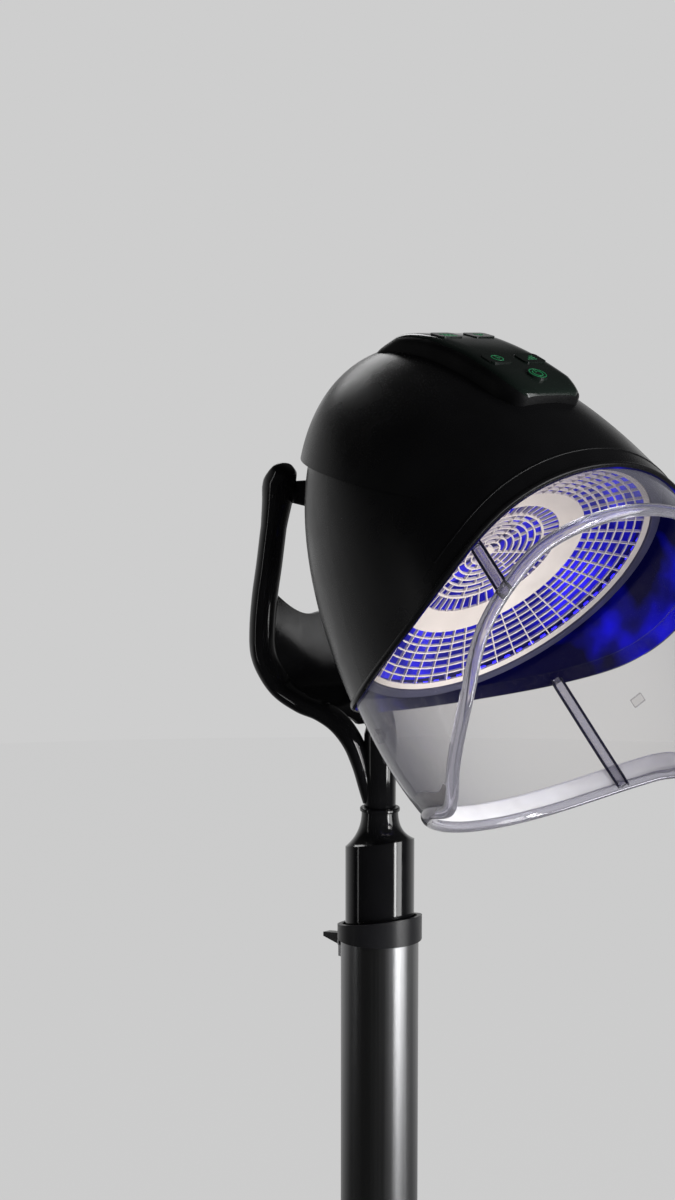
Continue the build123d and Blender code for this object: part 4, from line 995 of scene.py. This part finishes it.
# ---------------------------------------------------------------- console icons
class HOOD_OT_icons(DryerOperator, bpy.types.Operator):
    """Generic lit icons of the console's keys"""
    bl_idname = "hood.icons"
    bl_label = "Icons"

    LIFT = 0.013
    THICK, LINE = 0.00025, 0.0007
    # angle round the dome's profile in degrees, place across and stand over the lift
    FACES = {
        "heat": (52, -0.018, 0.0006), "air": (52, 0.018, 0.0006), "timer": (38, -0.018, 0.0006),
        "mode": (38, 0.018, 0.0006), "power": (32, 0.0, 0.0012),
    }

    def face(self, angle, across, proud):
        """Matrix of a key's face: X across the hood, Y up the console."""
        turn = math.radians(angle)
        radius, rise = DOME_RADIUS + self.LIFT, DOME_HEIGHT + self.LIFT
        ahead, up = radius * math.cos(turn), rise * math.sin(turn)
        normal = (FORWARD * (ahead / radius ** 2) + CROWN * (up / rise ** 2)).normalized()
        point = CENTRE + FORWARD * ahead + CROWN * up + ACROSS * across + normal * proud
        up_side = normal.cross(ACROSS)
        return Matrix.Translation(point) @ Matrix((ACROSS, up_side, normal)).transposed().to_4x4()

    def arc(self, bm, matrix, inner, width, start=0, sweep=360, place=(0, 0)):
        """Flat arc of a ring, in degrees."""
        turn = math.radians(start)
        verts = [bm.verts.new((r * math.cos(turn), r * math.sin(turn), 0))
                 for r in (inner, inner + width)]
        edge = bm.edges.new(verts)
        before = set(bm.verts) - set(verts)
        bmesh.ops.spin(bm, geom=verts + [edge], axis=(0, 0, 1), cent=(0, 0, 0),
                       angle=math.radians(sweep), steps=max(6, int(sweep / 12)), use_merge=sweep == 360)
        fresh = [v for v in bm.verts if v not in before]
        faces = list({f for v in fresh for f in v.link_faces})
        tops = bmesh.ops.extrude_face_region(bm, geom=faces)["geom"]
        bmesh.ops.translate(bm, vec=(0, 0, self.THICK), verts=[v for v in tops if is_vert(v)])
        fresh = [v for v in bm.verts if v not in before]
        bmesh.ops.transform(bm, matrix=matrix @ Matrix.Translation((*place, 0)), verts=fresh)

    def bar(self, bm, matrix, length, width, place=(0, 0), turn=0):
        spot = Matrix.Translation((*place, self.THICK / 2)) @ Matrix.Rotation(math.radians(turn), 4, "Z")
        block(bm, (length, width, self.THICK), matrix @ spot)

    def heat(self, bm, face):
        """Three waves over a line."""
        for x in (-0.004, 0.0, 0.004):
            self.arc(bm, face, 0.0013, self.LINE, 90, 180, (x, 0.0017))
            self.arc(bm, face, 0.0013, self.LINE, -90, 180, (x, -0.0016))
        self.bar(bm, face, 0.014, self.LINE, (0, -0.0055))

    def air(self, bm, face):
        """Three fan blades round a hub."""
        for turn in (0, 120, 240):
            spot = Vector((0.0028, 0)).to_2d()
            spot.rotate(Matrix.Rotation(math.radians(turn), 2))
            self.arc(bm, face, 0.0016, self.LINE, turn, 220, tuple(spot))
        self.arc(bm, face, 0.0004, self.LINE)

    def timer(self, bm, face):
        """Clock face with two hands."""
        self.arc(bm, face, 0.0048, self.LINE)
        self.bar(bm, face, 0.0038, self.LINE, (0, 0.0019), 90)
        self.bar(bm, face, 0.0028, self.LINE, (0.0014, 0))

    def mode(self, bm, face):
        """Three bars of growing length."""
        for i, length in enumerate((0.004, 0.007, 0.010)):
            self.bar(bm, face, length, self.LINE, (0.005 - length / 2, 0.003 - 0.003 * i))

    def power(self, bm, face):
        """Open ring with a bar, in a thinner ring."""
        bold = self.LINE * 1.3
        self.arc(bm, face, 0.0040, bold, 120, 300)
        self.bar(bm, face, 0.0040, bold, (0, 0.0038), 90)
        self.arc(bm, face, 0.0070, self.LINE)

    def build(self):
        for key, place in self.FACES.items():
            bm = bmesh.new()
            getattr(self, key)(bm, self.face(*place))
            piece(f"icon_{key}", bm, "console_gloss", f"key_{key}", finish="icon_green")


# ---------------------------------------------------------------- castors
class HOOD_OT_wheels(DryerOperator, bpy.types.Operator):
    """Twin castor wheels with rounded tyres and dished hubs"""
    bl_idname = "hood.wheels"
    bl_label = "Castor wheels"

    AXLE_HEIGHT, WHEEL_OFFSET, STEPS = 0.025, 0.011, 40
    # (radius, place along the axle)
    TYRE = ((0.0185, -0.0045), (0.0232, -0.0045), (0.0246, -0.0034), (0.0250, -0.0015),
            (0.0250, 0.0015), (0.0246, 0.0034), (0.0232, 0.0045), (0.0185, 0.0045))
    HUB = ((0.0030, -0.0040), (0.0185, -0.0042), (0.0185, 0.0040), (0.0172, 0.0044),
           (0.0160, 0.0026), (0.0090, 0.0018), (0.0075, 0.0044), (0.0030, 0.0046))
    AXLE = ((0.0, -0.0155), (0.0030, -0.0155), (0.0030, 0.0155), (0.0, 0.0155))

    def build(self):
        for number in range(1, 6):
            low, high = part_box(f"caster_wheels_{number}")
            middle = (low + high) / 2
            away = Vector((middle.x, middle.y, 0)).normalized()
            axle = Vector((0, 0, 1)).cross(away)
            place = (Matrix.Translation((middle.x, middle.y, self.AXLE_HEIGHT))
                     @ Matrix((away, axle.cross(away), axle)).transposed().to_4x4())
            tyre, hub = bmesh.new(), bmesh.new()
            for side in (-1, 1):
                half = place @ Matrix.Translation((0, 0, side * self.WHEEL_OFFSET))
                if side < 0:
                    half = half @ Matrix.Rotation(math.pi, 4, "X")
                turned(tyre, self.TYRE, half, self.STEPS, closed=True)
                turned(hub, self.HUB, half, self.STEPS, closed=True)
            turned(hub, self.AXLE, place, 20)
            piece(f"tyres_{number}", tyre, "caster_tyre", f"wheels_{number}", [f"caster_wheels_{number}"])
            piece(f"wheel_hubs_{number}", hub, "caster_plastic", f"wheels_{number}")


# ---------------------------------------------------------------- panel and start
STEPS = (HOOD_OT_stage, HOOD_OT_carried, HOOD_OT_grille, HOOD_OT_visor, HOOD_OT_arm, HOOD_OT_shell_lines,
         HOOD_OT_console, HOOD_OT_icons, HOOD_OT_wheels)


class HOOD_PT_panel(bpy.types.Panel):
    """Lists the dryer's pieces and their sizes and colours"""
    bl_idname = "HOOD_PT_panel"
    bl_label = "Hood Dryer"
    bl_space_type = "VIEW_3D"
    bl_region_type = "UI"
    bl_category = "Hood Dryer"

    def draw(self, context):
        for group in (context.scene.hood_sizes, context.scene.hood_colours):
            for name in group.__annotations__:
                self.layout.prop(group, name)
        for step in STEPS:
            self.layout.operator(step.bl_idname)


CLASSES = (HoodSizes, HoodColours, *STEPS, HOOD_PT_panel)


def register():
    for kind in CLASSES:
        bpy.utils.register_class(kind)
    bpy.types.Scene.hood_sizes = PointerProperty(type=HoodSizes)
    bpy.types.Scene.hood_colours = PointerProperty(type=HoodColours)


def unregister():
    del bpy.types.Scene.hood_colours
    del bpy.types.Scene.hood_sizes
    for kind in reversed(CLASSES):
        bpy.utils.unregister_class(kind)


def main():
    register()
    for step in STEPS:
        group, name = step.bl_idname.split(".")
        getattr(getattr(bpy.ops, group), name)()


if __name__ == "__main__":
    main()
